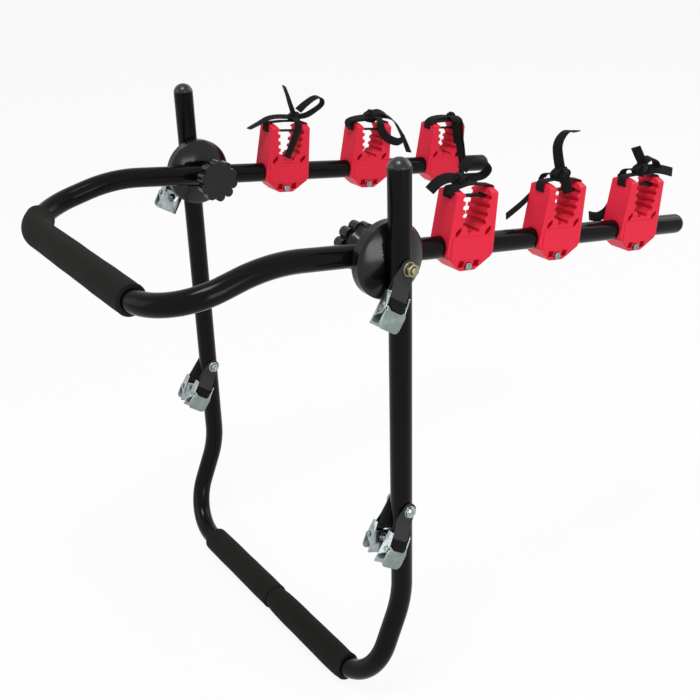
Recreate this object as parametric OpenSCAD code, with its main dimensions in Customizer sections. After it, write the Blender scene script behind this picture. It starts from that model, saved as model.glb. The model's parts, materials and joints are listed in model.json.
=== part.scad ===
// Trunk mounted bike rack: two bent tube hoops joined at toothed clamp hubs, foam pads that rest
// on the car, six bike cradles with tie straps, and six webbing tabs with cam buckles.
// Millimetres. +X across the car, +Y away from the car, +Z up.
// The origin is the middle of the lower crossbar.

/* [Tube] */
// Outside diameter of the tube that both hoops are bent from
tube_d = 25.4; // [22:0.1:30]
// Wall thickness of the tube
tube_wall = 1.5; // [1:0.1:2.5]
// Height of the rounded plugs that close the tube ends
plug_dome = 10.5; // [6:0.5:12]
// Depth of the plugs inside the tube
plug_depth = 16; // [10:1:30]

/* [Main hoop] */
// Distance between the two leg centre lines
leg_spacing = 470; // [420:1:540]
// Height of the leg tips above the hub axis
leg_rise = 114; // [90:1:150]
// Drop from the hub axis to the bend where the legs kick towards the car
leg_drop = 428; // [400:1:500]
// Distance of the lower crossbar from the legs, towards the car
kick_run = 50; // [20:1:70]
// Drop from the kick bend to the lower crossbar
kick_drop = 120; // [110:1:170]
// Centre line radius of the kick bend
kick_bend_r = 130; // [60:1:160]
// Centre line radius of the lower corners
main_corner_r = 65; // [50:1:80]

/* [Arms hoop] */
// Distance between a leg's centre line and its arm's centre line
hub_offset = 42.5; // [41:0.5:48]
// Distance from the hub axis to the arm tips
arm_reach = 505; // [480:1:580]
// Angle of the arms below level
arm_droop = 8.4; // [0:0.1:20]
// Distance from the hub axis to the rear bend
rear_straight = 131; // [120:1:160]
// Distance from the rear bend to the rear crossbar
rear_len = 127; // [120:1:160]
// Angle of the rear bend
rear_turn = 21; // [10:0.5:30]
// Centre line radius of the rear bend
rear_bend_r = 200; // [100:1:220]
// Centre line radius of the rear corners
rear_corner_r = 70; // [50:1:80]

/* [Foam pads] */
// Wall thickness of the foam sleeves
foam_wall = 5.2; // [4:0.1:8]
// How far the upper sleeve runs round the left corner, in degrees
upper_wrap_left = 43; // [5:1:60]
// How far the upper sleeve runs round the right corner, in degrees
upper_wrap_right = 5; // [2:1:60]
// Place of the joint between the two lower sleeves, right of the middle
lower_joint_x = 11; // [0:1:30]
// Free length of crossbar left of the lower sleeves, before the corner
lower_left_bare = 9; // [1:1:40]
// How far the right lower sleeve runs round its corner, in degrees
lower_wrap_right = 14; // [2:1:40]

/* [Clamp hubs] */
// Outside diameter of the hub discs
hub_d = 86; // [80:1:100]
// Height of a hub half's straight rim
hub_rim = 5; // [3:0.5:6]
// Size of the sloped edge between rim and dome
hub_edge = 2; // [1:0.5:3]
// Distance of a hub half's crown from the centre line of its tube
hub_crown_below = 3.75; // [2:0.25:6]
// Width of the lip that steps back from the tube on each side of the channel
hub_lip = 2.6; // [1:0.1:4]
// Height of that lip above the bottom of the tube
hub_lip_up = 4; // [2:0.5:6]
// Number of radial teeth on each mating face
hub_teeth = 24; // [12:1:40]
// Depth of the teeth
hub_tooth = 1.2; // [0.6:0.1:1.6]
// Distance between the mating faces with the knobs slackened
hub_gap = 0.6; // [0.4:0.1:1]
// Diameter of the clamp studs
stud_d = 8; // [6:1:10]

/* [Knobs] */
// Diameter over the lobes of a knob
knob_d = 54; // [48:1:60]
// Number of lobes
knob_lobes = 10; // [6:1:12]
// Diameter of a lobe
lobe_d = 13; // [9:0.5:14]
// Thickness of the lobed grip
knob_grip = 13; // [10:0.5:18]
// Length of the tapered boss between grip and arm
knob_boss = 15; // [10:0.5:20]

/* [Cradles] */
// Distance from the hub axis to the first cradle
cradle_first = 121; // [115:1:135]
// Distance between neighbouring cradles
cradle_pitch = 142; // [135:1:160]
// Width of a cradle at its top
cradle_top_w = 60; // [56:0.5:66]
// Width of a cradle at its shoulders
cradle_base_w = 69; // [66:0.5:74]
// Depth of a cradle across the arm
cradle_depth = 33; // [32:0.5:40]
// Height of the cradle tops above the arm's centre line
cradle_top = 67; // [64:0.5:74]
// Diameter of the round seat for a bike's tube
seat_d = 30; // [26:0.5:32]
// Height of the seat's centre above the arm's centre line
seat_up = 35; // [34:0.5:37]
// Width of the notch at its mouth
mouth_w = 36; // [34:0.5:40]
// Width of the grip grooves in the notch
groove_w = 5.2; // [4.6:0.1:5.8]
// Depth of the grip grooves
groove_deep = 3.3; // [2.4:0.1:3.6]
// Drop of the clamp boss below the arm's centre line
cradle_drop = 26; // [24:0.5:30]
// Drop of the clamp bolt below the arm's centre line
clamp_drop = 20.5; // [19:0.5:22]
// Diameter of the clamp bolt
clamp_bolt_d = 5; // [4:0.5:6]

/* [Tie straps] */
// Width of the tie straps
tie_w = 12; // [8:0.5:13]
// Thickness of the tie straps
tie_t = 1.6; // [1:0.1:2]

/* [Buckles] */
// Width of the webbing tabs
web_w = 25; // [20:0.5:30]
// Thickness of a folded webbing tab
web_t = 2.4; // [1.6:0.1:3]
// Radius of a tab's top, round its bolt
tab_top_r = 9.5; // [9:0.5:10]
// Distance from the bolt to the tab's full width
tab_shoulder = 14; // [10:1:20]
// Distance from the bolt to the buckle's loop bar
tab_len = 33; // [28:1:45]
// Drop of the lower bolts below the hub axis
lower_bolt_drop = 297; // [240:1:320]
// Diameter of the lower bolts
lower_bolt_d = 6; // [5:0.5:8]
// Thickness of the buckles' sheet steel
sheet_t = 1.6; // [1.2:0.1:2]
// Length of a buckle from the loop bar to its open end
buckle_len = 34; // [32:1:44]
// Reach of the buckle's ears below the lever pin
ear_drop = 11.5; // [9:0.5:13]
// Radius of the cam under the lever
cam_r = 5; // [4.5:0.1:5.5]
// Reach of the lever past its pin
lever_len = 20; // [16:1:21]
// Diameter of the window in a buckle's back
window_d = 10; // [6:0.5:12]
// Lean of the upper tabs towards the car, right then left
upper_lean = [34, 32]; // [0:1:60]
// Lean of the lower outer tabs, right then left
lower_outer_lean = [34, 27]; // [0:1:60]
// Lean of the lower inner tabs, right then left
lower_inner_lean = [22, 37]; // [0:1:60]

/* [Fits] */
// Gap between pieces that are clamped or pushed together
seat_gap = 0.15; // [0.05:0.05:0.3]
// Radial gap of pins and studs that turn
run_gap = 0.08; // [0.02:0.01:0.1]
// Gap between faces that slide past each other
slide_gap = 0.3; // [0.2:0.05:0.6]

/* [Hidden] */
$fn = 48;
past = 1;
// Straight tube runs this far into a bend, whose wall is drawn thinner by bend_thin on each face
lap = 0.3;
bend_thin = 0.1;

black_paint = [0.05, 0.05, 0.055];
foam_grey = [0.16, 0.16, 0.15];
hub_black = [0.1, 0.1, 0.11];
cradle_red = [0.85, 0.16, 0.24];
web_black = [0.07, 0.07, 0.07];
zinc = [0.72, 0.76, 0.77];
yellow_zinc = [0.78, 0.72, 0.48];

tube_r = tube_d / 2;
bore_r = tube_r - tube_wall;
foam_in = tube_r + seat_gap;
foam_out = foam_in + foam_wall;

leg_x = leg_spacing / 2;
hub_y = kick_run;
hub_z = leg_drop + kick_drop;
kick_len = norm([kick_run, kick_drop]);
kick_angle = atan2(kick_run, kick_drop);
kick_tangent = kick_bend_r * tan(kick_angle / 2);
lower_half = leg_x - main_corner_r;
leg_foot = kick_drop + kick_tangent;
leg_end = hub_z + leg_rise - plug_dome;

arm_x = leg_x - hub_offset;
rear_half = arm_x - rear_corner_r;
rear_u = -rear_straight - rear_len * cos(rear_turn);
rear_v = -rear_len * sin(rear_turn);
rear_tangent = rear_bend_r * tan(rear_turn / 2);
arm_end = arm_reach - plug_dome;

mate_x = (leg_x + arm_x) / 2;
hub_r = hub_d / 2;
tube_up = hub_offset / 2 - hub_gap / 2;
hub_h = tube_up - hub_crown_below;
dome_r = hub_r - hub_edge;
dome_base = hub_rim + hub_edge;
dome_h = hub_h - dome_base;
dome_ball = (dome_r * dome_r + dome_h * dome_h) / (2 * dome_h);
tooth_in = 0.5 * hub_r;
tooth_out = hub_r - 4;

stud_r = stud_d / 2;
stud_hole = stud_r + run_gap;
stud_nut_af = stud_d + 5;
stud_nut_h = 0.8 * stud_d;
stud_washer_r = stud_d;
stud_washer_t = 1.6;
stud_past = 3;
stud_in_knob = 11;
tab_out = seat_gap + web_t;
stud_washer_at = tab_out + seat_gap;
stud_nut_at = stud_washer_at + stud_washer_t + seat_gap;

knob_core = (knob_d - lobe_d) / 2;
knob_boss_r = knob_core - 7;

lower_r = lower_bolt_d / 2;
lower_hole = lower_r + run_gap;
lower_af = lower_bolt_d + 4;
lower_washer_r = lower_bolt_d + 1.5;
lower_head_r = lower_bolt_d + 0.6;
lower_washer_t = 1.2;
lower_head_h = 4.5;
lower_nut_h = 5;
lower_washer_at = tab_out + seat_gap;
lower_head_at = lower_washer_at + lower_washer_t + seat_gap;
lower_z = hub_z - lower_bolt_drop;

seat_r = seat_d / 2;
cradle_bore = tube_r + seat_gap;
shoulder_v = -5;
hip_w = cradle_base_w - 7;
hip_v = -11;
waist_w = 51;
waist_v = -15;
boss_w = 38;
boss_v = -20.5;
boss_foot_w = 22;
boss_depth = cradle_depth - 5;
crown_r = 30;
flare_v = cradle_top - 7;
flare_w = mouth_w + 8;
wall_grooves = [3, 12.5, 22];
slot_v = cradle_top - 10;
slot_up = tie_t / 2 + 1;
slot_down = tie_t / 2 + slide_gap;
slot_w = tie_w + 2;
dimple_u = 22;
dimple_v = 20;
dimple_deep = 7;
dimple_half = [4, 4.8];
pad_w = 58;
pad_top = 14;
pad_proud = 0.8;
clamp_r = clamp_bolt_d / 2;
clamp_hole = clamp_r + seat_gap / 2;
clamp_head_r = clamp_bolt_d - 0.5;
clamp_head_h = 3;
clamp_nut_af = clamp_bolt_d + 3;
clamp_nut_h = 4;
clamp_face = boss_depth / 2;
clamp_spot_r = clamp_head_r + 0.8;
pocket_u = 11;
pocket_v = -17.5;
pocket_w = 8.5;
pocket_h = 8;
pocket_deep = 6;

bar_r = 2.1;
loop_in = bar_r + seat_gap;
loop_out = loop_in + web_t;
bar_x = seat_gap + loop_out + 0.1;
base_x = 0.4;
gap_w = web_w + 2;
frame_w = gap_w + 2 * sheet_t;
cam_x = base_x + sheet_t + 2.4 + cam_r;
cam_drop = loop_out + slide_gap + cam_r + 4;
pin_r = 2;
pin_z = -tab_len - cam_drop;
ear_gap = 0.5;
ear_round = cam_r - sheet_t - ear_gap;
pin_head_r = 3.2;
pin_head_t = 1;
lever_w = gap_w - 2 * slide_gap;
lever_corner = 5;

// Half of an outline, mirrored about its upright axis
function both(half) = concat(half, [for (i = [len(half) - 1:-1:0]) [-half[i][0], half[i][1]]]);

// Half width of the notch at a height above the seat's centre
function notch_half(up) = seat_r + (mouth_w / 2 - seat_r) * up / (flare_v - seat_up);

// Direction of a chain of points at one of them
function way(p, i) =
  let (a = p[max(i - 1, 0)], b = p[min(i + 1, len(p) - 1)])
  (b - a) / norm(b - a);

// Point beside a chain
function beside(p, i, off) = p[i] + off * [-way(p, i)[1], way(p, i)[0]];

// Point on the smooth curve from p1 to p2, with the neighbours p0 and p3
function blend_point(p0, p1, p2, p3, t) =
  0.5 * (2 * p1 + (p2 - p0) * t + (2 * p0 - 5 * p1 + 4 * p2 - p3) * t * t
  + (3 * p1 - p0 - 3 * p2 + p3) * t * t * t);

// Smooth chain through the given points
function smooth(p, steps = 3) = concat(
  [for (i = [0:len(p) - 2], k = [0:steps - 1])
    blend_point(p[max(i - 1, 0)], p[i], p[i + 1], p[min(i + 2, len(p) - 1)], k / steps)],
  [p[len(p) - 1]]);

// Outline of a band of the given width along a chain
function band(p, w) = concat(
  [for (i = [0:len(p) - 1]) beside(p, i, w / 2)],
  [for (i = [len(p) - 1:-1:0]) beside(p, i, -w / 2)]);

// Puts an outline drawn across Y and Z upright, thick along X
module upright(thick) {
  rotate([90, 0, 90])
    linear_extrude(thick, center = true) children();
}

// Rod along +X
module rod_x(r, len) {
  rotate([0, 90, 0]) cylinder(r = r, h = len);
}

module pipe(out, in, len) {
  difference() {
    cylinder(r = out, h = len);
    translate([0, 0, -past]) cylinder(r = in, h = len + 2 * past);
  }
}

// Bent pipe in the XY plane, from +X round towards +Y
module pipe_bend(radius, angle, out, in) {
  rotate_extrude(angle = angle)
    translate([radius, 0])
      difference() {
        circle(out - bend_thin);
        circle(in + bend_thin);
      }
}

// Part of a hoop's right corner, from the crossbar on towards its side
module corner(half, radius, angle, out, in) {
  translate([half, radius, 0])
    rotate([0, 0, -90]) pipe_bend(radius, angle, out, in);
}

module bar_between(x1, x2, out, in) {
  translate([x1, 0, 0]) rotate([0, 90, 0]) pipe(out, in, x2 - x1);
}

module both_sides() {
  children();
  mirror([1, 0, 0]) children();
}

module lower_plane() {
  rotate([90 - kick_angle, 0, 0]) children();
}

module on_arms() {
  translate([0, hub_y, hub_z]) rotate([-arm_droop, 0, 0]) children();
}

module rear_plane() {
  on_arms() translate([0, rear_u, rear_v]) rotate([rear_turn, 0, 0]) children();
}

module main_side() {
  lower_plane() {
    corner(lower_half, main_corner_r, 90, tube_r, bore_r);
    translate([leg_x, main_corner_r - lap, 0])
      rotate([-90, 0, 0]) pipe(tube_r, bore_r, kick_len - kick_tangent - main_corner_r + 2 * lap);
  }
  translate([leg_x, hub_y - kick_bend_r, leg_foot])
    rotate([90, 0, 90]) rotate([0, 0, -kick_angle])
      pipe_bend(kick_bend_r, kick_angle, tube_r, bore_r);
  translate([leg_x, hub_y, leg_foot - lap]) pipe(tube_r, bore_r, leg_end - leg_foot + lap);
}

module main_hoop() {
  color(black_paint)
    difference() {
      union() {
        lower_plane() bar_between(-lower_half - lap, lower_half + lap, tube_r, bore_r);
        both_sides() main_side();
      }
      both_sides() {
        translate([leg_x - tube_r - past, hub_y, hub_z]) rod_x(stud_hole, tube_d + 2 * past);
        translate([leg_x - tube_r - past, hub_y, lower_z]) rod_x(lower_hole, tube_d + 2 * past);
      }
    }
}

module arm_side() {
  rear_plane() {
    corner(rear_half, rear_corner_r, 90, tube_r, bore_r);
    translate([arm_x, rear_corner_r - lap, 0])
      rotate([-90, 0, 0]) pipe(tube_r, bore_r, rear_len - rear_tangent - rear_corner_r + 2 * lap);
  }
  on_arms() {
    translate([arm_x, rear_tangent - rear_straight, -rear_bend_r])
      rotate([90, 0, 90]) rotate([0, 0, 90])
        pipe_bend(rear_bend_r, rear_turn, tube_r, bore_r);
    translate([arm_x, rear_tangent - rear_straight - lap, 0])
      rotate([-90, 0, 0]) pipe(tube_r, bore_r, rear_straight - rear_tangent + arm_end + lap);
  }
}

module arms_hoop() {
  color(black_paint)
    difference() {
      union() {
        rear_plane() bar_between(-rear_half - lap, rear_half + lap, tube_r, bore_r);
        both_sides() arm_side();
      }
      on_arms() both_sides()
        translate([arm_x - tube_r - past, 0, 0]) rod_x(stud_hole, tube_d + 2 * past);
    }
}

// Rounded plug for a tube end, its shoulder at the origin
module end_plug() {
  ball = (tube_r * tube_r + plug_dome * plug_dome) / (2 * plug_dome);
  translate([0, 0, -plug_depth]) cylinder(r = bore_r - seat_gap, h = plug_depth + past / 2);
  translate([0, 0, seat_gap / 2])
    intersection() {
      cylinder(r = tube_r, h = plug_dome);
      translate([0, 0, plug_dome - ball]) sphere(ball);
    }
}

module leg_caps() {
  color(hub_black)
    both_sides() translate([leg_x, hub_y, leg_end]) end_plug();
}

module arm_caps() {
  color(hub_black)
    on_arms() both_sides() translate([arm_x, arm_end, 0]) rotate([-90, 0, 0]) end_plug();
}

module upper_foam() {
  color(foam_grey)
    rear_plane() {
      bar_between(-rear_half - lap, rear_half + lap, foam_out, foam_in);
      corner(rear_half, rear_corner_r, upper_wrap_right, foam_out, foam_in);
      mirror([1, 0, 0]) corner(rear_half, rear_corner_r, upper_wrap_left, foam_out, foam_in);
    }
}

module lower_foam_left() {
  color(foam_grey)
    lower_plane()
      bar_between(lower_left_bare - lower_half, lower_joint_x - slide_gap, foam_out, foam_in);
}

module lower_foam_right() {
  color(foam_grey)
    lower_plane() {
      bar_between(lower_joint_x, lower_half + lap, foam_out, foam_in);
      corner(lower_half, main_corner_r, lower_wrap_right, foam_out, foam_in);
    }
}

// Hub half on its mating face, dome up, with the channel for its tube along Y
module hub_half() {
  tooth_w = 0.7 * 2 * PI * tooth_in / hub_teeth;
  lip_from = tube_up - tube_r + hub_lip_up;
  difference() {
    union() {
      cylinder(r = hub_r, h = hub_rim);
      translate([0, 0, hub_rim]) cylinder(r1 = hub_r, r2 = dome_r, h = hub_edge);
      translate([0, 0, dome_base])
        intersection() {
          cylinder(r = dome_r, h = dome_h);
          translate([0, 0, dome_h - dome_ball]) sphere(dome_ball);
        }
    }
    translate([0, -hub_r - past, tube_up])
      rotate([-90, 0, 0]) cylinder(r = tube_r + seat_gap, h = hub_d + 2 * past);
    translate([-tube_r - hub_lip, -hub_r - past, lip_from])
      cube([tube_d + 2 * hub_lip, hub_d + 2 * past, hub_h]);
    translate([0, 0, -past]) cylinder(r = stud_hole, h = hub_h);
    for (i = [0:hub_teeth - 1])
      rotate([0, 0, (i + 0.5) * 360 / hub_teeth])
        translate([tooth_in, 0, 0])
          rotate([90, 0, 90])
            linear_extrude(tooth_out - tooth_in)
              polygon([[-tooth_w / 2, -0.01], [tooth_w / 2, -0.01], [0, hub_tooth]]);
  }
}

module hub_outer() {
  color(hub_black)
    translate([mate_x + hub_gap / 2, hub_y, hub_z]) rotate([90, 0, 90]) hub_half();
}

module hub_inner() {
  color(hub_black)
    on_arms() translate([mate_x - hub_gap / 2, 0, 0]) rotate([0, -90, 0]) hub_half();
}

module hex_nut(af, h, hole) {
  difference() {
    cylinder(r = af / sqrt(3), h = h, $fn = 6);
    translate([0, 0, -past]) cylinder(r = hole, h = h + 2 * past);
  }
}

module washer(out, hole, t) {
  difference() {
    cylinder(r = out, h = t);
    translate([0, 0, -past]) cylinder(r = hole, h = t + 2 * past);
  }
}

module hub_nuts() {
  color(yellow_zinc)
    both_sides()
      translate([leg_x + tube_r + stud_nut_at, hub_y, hub_z])
        rotate([0, 90, 0]) hex_nut(stud_nut_af, stud_nut_h, stud_hole);
}

module hub_washers() {
  color(yellow_zinc)
    both_sides()
      translate([leg_x + tube_r + stud_washer_at, hub_y, hub_z])
        rotate([0, 90, 0]) washer(stud_washer_r, stud_hole, stud_washer_t);
}

module stud() {
  from = arm_x - tube_r - slide_gap - stud_in_knob;
  to = leg_x + tube_r + stud_nut_at + stud_nut_h + stud_past;
  color(yellow_zinc)
    translate([from, hub_y, hub_z]) rod_x(stud_r, to - from);
}

// Knob with its boss face at the origin and its grip away from it
module knob_shape() {
  difference() {
    union() {
      cylinder(r1 = knob_boss_r, r2 = knob_core, h = knob_boss);
      translate([0, 0, knob_boss])
        linear_extrude(knob_grip) {
          circle(knob_core);
          for (i = [0:knob_lobes - 1])
            rotate(i * 360 / knob_lobes) translate([knob_core, 0]) circle(lobe_d / 2);
        }
    }
    translate([0, 0, -past]) cylinder(r = stud_r + seat_gap / 3, h = stud_in_knob + past);
  }
}

module knob() {
  color(hub_black)
    translate([arm_x - tube_r - slide_gap, hub_y, hub_z]) rotate([0, -90, 0]) knob_shape();
}

// Notch across a cradle, from its mouth down to the round seat, with its grip grooves
module notch_outline() {
  side = [[seat_r, seat_up], [mouth_w / 2, flare_v], [flare_w / 2, cradle_top + past]];
  polygon(both(side));
  translate([0, seat_up]) circle(seat_r);
  for (a = [-157.5:45:-22.5])
    translate([0, seat_up]) rotate(a) groove(seat_r);
  for (up = wall_grooves, turn = [0, 180])
    translate([0, seat_up + up]) rotate(turn) groove(notch_half(up));
}

module groove(at) {
  half = groove_w / 2;
  side = [[-half, at - past], [-half, at + groove_deep / 2], [-half / 2, at + groove_deep]];
  rotate(-90) polygon(both(side));
}

// Slanted recess with two cut corners
module dimple_outline() {
  w = dimple_half[0];
  h = dimple_half[1];
  polygon([[-w, -h], [-w / 4, -h], [w, 0], [w, h], [w / 3, h], [-w, 0]]);
}

module cradle_block() {
  front = [
    [cradle_top_w / 2, cradle_top],
    [cradle_base_w / 2, shoulder_v],
    [hip_w / 2, hip_v],
    [waist_w / 2, waist_v],
    [boss_w / 2, boss_v],
    [boss_foot_w / 2, -cradle_drop]];
  side = [
    [cradle_depth / 2, cradle_top],
    [cradle_depth / 2, hip_v],
    [boss_depth / 2, -cradle_drop]];
  intersection() {
    upright(cradle_depth + past) polygon(both(front));
    rotate([90, 0, 0]) linear_extrude(cradle_base_w + past, center = true) polygon(both(side));
  }
  translate([0, 0, (pad_top + hip_v) / 2])
    cube([cradle_depth + 2 * pad_proud, pad_w, pad_top - hip_v], center = true);
}

// Bike cradle on an arm, the arm's centre line along Y
module cradle() {
  long = cradle_base_w + 2 * past;
  color(cradle_red)
    difference() {
      cradle_block();
      translate([0, -long / 2, 0]) rotate([-90, 0, 0]) cylinder(r = cradle_bore, h = long);
      upright(cradle_depth + 4 * past) notch_outline();
      translate([0, 0, cradle_top - crown_r])
        rotate([90, 0, 0])
          difference() {
            translate([-crown_r, 0, -long / 2]) cube([2 * crown_r, crown_r + past, long]);
            translate([0, 0, -long]) cylinder(r = crown_r, h = 2 * long);
            translate([-crown_r, 0, -long]) cube([2 * crown_r, crown_r / 2, 2 * long]);
          }
      translate([-slot_w / 2, -long / 2, slot_v - slot_down])
        cube([slot_w, long, slot_down + slot_up]);
      for (s = [-1, 1], f = [-1, 1])
        translate([f * (cradle_depth / 2 - dimple_deep / 2 + past / 2), s * dimple_u, dimple_v])
          upright(dimple_deep + past) dimple_outline();
      for (s = [-1, 1], f = [0, 1])
        mirror([f, 0, 0])
          translate([clamp_face - pocket_deep, s * pocket_u - pocket_w / 2, pocket_v - pocket_h / 2])
            cube([cradle_depth, pocket_w, pocket_h]);
      translate([-cradle_depth, 0, -clamp_drop]) rod_x(clamp_hole, 2 * cradle_depth);
      for (f = [0, 1])
        mirror([f, 0, 0])
          translate([clamp_face, 0, -clamp_drop]) rod_x(clamp_spot_r, cradle_depth);
    }
}

// Places a cradle or strap on the right (1) or left (-1) arm
module at_cradle(side, i) {
  on_arms() translate([side * arm_x, cradle_first + i * cradle_pitch, 0]) children();
}

// Clamp bolts below the arms, their heads on the cradles' right faces
module cradle_bolts() {
  color(zinc)
    for (side = [-1, 1], i = [0:2])
      at_cradle(side, i)
        translate([0, 0, -clamp_drop]) {
          translate([-clamp_face - clamp_nut_h - 2, 0, 0])
            rod_x(clamp_r, 2 * clamp_face + clamp_nut_h + 2 + clamp_head_h / 2);
          translate([clamp_face + seat_gap, 0, 0]) rod_x(clamp_head_r, clamp_head_h);
        }
}

module cradle_nuts() {
  color(zinc)
    for (side = [-1, 1], i = [0:2])
      at_cradle(side, i)
        translate([-clamp_face - seat_gap, 0, -clamp_drop])
          rotate([0, -90, 0]) hex_nut(clamp_nut_af, clamp_nut_h, clamp_hole);
}

// Strap round both pillars of a cradle: through the slots, up the sides and over the top
module tie_loop() {
  out_u = cradle_top_w / 2 + 3.2;
  top_v = cradle_top + 2;
  peak_v = cradle_top + 7;
  outer = [
    [out_u, slot_v - tie_t / 2],
    [out_u, top_v],
    [8, peak_v + tie_t / 2]];
  inner = [
    [out_u - tie_t, slot_v + tie_t / 2],
    [out_u - tie_t, top_v - tie_t / 2],
    [8, peak_v - tie_t / 2]];
  upright(tie_w)
    difference() {
      polygon(both(outer));
      polygon(both(inner));
    }
}

// Strap that bends in the plane along the arm
module tie_bend(points) {
  upright(tie_w) polygon(band(smooth(points), tie_t));
}

// Strap that hangs flat in front of a cradle or behind it, and the piece that leads over its top
module tie_hang(points, face) {
  hang_x = cradle_depth / 2 + pad_proud + tie_t;
  translate([face * hang_x, 0, 0]) upright(tie_t) polygon(band(smooth(points), tie_w));
  over = [
    [0, cradle_top + 8],
    [8, cradle_top + 8],
    [hang_x - 3, cradle_top + 5],
    [hang_x, cradle_top],
    [hang_x, points[0][1] - 4]];
  translate([0, points[0][0], 0])
    rotate([90, 0, 0])
      linear_extrude(tie_w, center = true)
        polygon([for (p = band(smooth(over), tie_t)) [face * p[0], p[1]]]);
}

module tie_knot(u, r) {
  translate([0, u, cradle_top + 9]) sphere(r);
}

module tie(side, i) {
  color(web_black)
    at_cradle(side, i) {
      tie_loop();
      children();
    }
}

module tie_left_1() {
  tie(-1, 0) {
    tie_knot(13, 8.5);
    tie_bend([[13, 75], [9, 85], [4, 95], [0, 104], [-7, 117]]);
    tie_bend([[13, 76], [30, 77], [45, 84], [57, 93], [55, 101], [45, 102], [30, 92]]);
    tie_bend([[13, 75], [-11, 76], [-28, 73], [-43, 67], [-58, 60]]);
    tie_hang([[9, 64], [6, 54], [2, 42], [-6, 23]], 1);
  }
}

module tie_left_2() {
  tie(-1, 1) {
    tie_knot(3, 11);
    tie_bend([[3, 76], [11, 81], [21, 81], [31, 77]]);
    tie_bend([[3, 76], [30, 74], [46, 68], [59, 54], [70, 39], [81, 21]]);
    tie_hang([[8, 64], [14, 54], [27, 45], [44, 41], [55, 48]], 1);
  }
}

module tie_left_3() {
  tie(-1, 2) {
    tie_knot(13, 6);
    tie_hang([[8, 66], [14, 46], [22, 25], [29, 4], [32, -13]], 1);
  }
}

module tie_right_1() {
  tie(1, 0) {
    tie_knot(-17, 8.5);
    tie_bend([[-17, 76], [-32, 78], [-46, 74], [-57, 65]]);
    tie_bend([[-17, 76], [1, 76], [17, 78], [24, 87], [13, 97], [-5, 96], [-14, 86]]);
  }
}

module tie_right_2() {
  tie(1, 1) {
    tie_knot(-1, 11);
    tie_bend([[-1, 78], [-10, 98], [-13, 110], [-9, 120], [0, 126], [15, 125]]);
    tie_bend([[-1, 76], [5, 63], [10, 54]]);
    tie_hang([[-10, 66], [-20, 52], [-38, 37], [-60, 23]], -1);
  }
}

module tie_right_3() {
  tie(1, 2) {
    tie_knot(0, 10);
    tie_bend([[0, 77], [1, 84], [-8, 94], [-17, 104]]);
    tie_bend([[0, 77], [4, 86], [15, 90], [26, 85], [31, 77]]);
    tie_bend([[0, 76], [34, 75], [63, 70]]);
    tie_hang([[-10, 64], [-15, 45], [-24, 22], [-40, 13], [-58, 15]], -1);
  }
}

// Round bolt head, domed above half its height
module round_head(r, h) {
  ball = (r * r + h * h / 4) / h;
  intersection() {
    cylinder(r = r, h = h);
    translate([0, 0, h - ball]) sphere(ball);
  }
}

module lower_bolts() {
  inside = lower_head_at + lower_nut_h + 2;
  color(zinc)
    both_sides()
      translate([leg_x, hub_y, lower_z]) {
        translate([-tube_r - inside, 0, 0])
          rod_x(lower_r, inside + tube_d + lower_head_at + past);
        translate([tube_r + lower_head_at, 0, 0])
          rotate([0, 90, 0]) round_head(lower_head_r, lower_head_h);
      }
}

module lower_nuts() {
  color(zinc)
    both_sides()
      translate([leg_x - tube_r - lower_head_at, hub_y, lower_z])
        rotate([0, -90, 0]) hex_nut(lower_af, lower_nut_h, lower_hole);
}

module lower_washers() {
  color(zinc)
    both_sides()
      translate([leg_x, hub_y, lower_z])
        for (turn = [0, 1])
          mirror([turn, 0, 0])
            translate([tube_r + lower_washer_at, 0, 0])
              rotate([0, 90, 0]) washer(lower_washer_r, lower_hole, lower_washer_t);
}

// Webbing tab that hangs from a bolt at the origin, lying against the leg in the plane X = 0
module tab_shape(hole) {
  edge = [[tab_top_r, 0], [web_w / 2, -tab_shoulder], [web_w / 2, -tab_len]];
  color(web_black)
    difference() {
      union() {
        translate([seat_gap, 0, 0]) rod_x(tab_top_r, web_t);
        translate([seat_gap + web_t / 2, 0, 0]) upright(web_t) polygon(both(edge));
        translate([bar_x, -web_w / 2, -tab_len])
          rotate([-90, 0, 0]) cylinder(r = loop_out, h = web_w);
      }
      rod_x(hole, seat_gap + web_t + past);
      translate([bar_x, -web_w / 2 - past, -tab_len])
        rotate([-90, 0, 0]) cylinder(r = loop_in, h = web_w + 2 * past);
    }
}

// Sheet steel buckle frame: back plate, two ears and the loop bar
module buckle_shape() {
  low = -tab_len - buckle_len;
  high = -tab_len + 5.5;
  ear = [
    [base_x, pin_z - ear_drop],
    [cam_x + ear_round / 2, pin_z - 1.3 * ear_round],
    [cam_x + ear_round, pin_z - ear_round / 3],
    [cam_x + ear_round, pin_z + ear_round],
    [bar_x + 4, high],
    [base_x, high]];
  back_top = -tab_len - loop_out - slide_gap;
  color(zinc)
    difference() {
      union() {
        for (s = [-1, 1])
          translate([0, s * (frame_w - sheet_t) / 2, 0])
            rotate([90, 0, 0]) linear_extrude(sheet_t, center = true) polygon(ear);
        translate([base_x, -frame_w / 2, low]) cube([sheet_t, frame_w, back_top - low]);
        translate([bar_x, -frame_w / 2, -tab_len])
          rotate([-90, 0, 0]) cylinder(r = bar_r, h = frame_w);
      }
      translate([cam_x, -frame_w, pin_z])
        rotate([-90, 0, 0]) cylinder(r = pin_r + run_gap, h = 2 * frame_w);
      translate([base_x - past, 0, pin_z]) rod_x(window_d / 2, sheet_t + 2 * past);
    }
}

module pin_shape() {
  color(zinc)
    translate([cam_x, 0, pin_z])
      rotate([90, 0, 0]) {
        cylinder(r = pin_r, h = frame_w + 2 * seat_gap + past, center = true);
        for (turn = [0, 180])
          rotate([turn, 0, 0])
            translate([0, 0, frame_w / 2 + seat_gap]) cylinder(r = pin_head_r, h = pin_head_t);
      }
}

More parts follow.
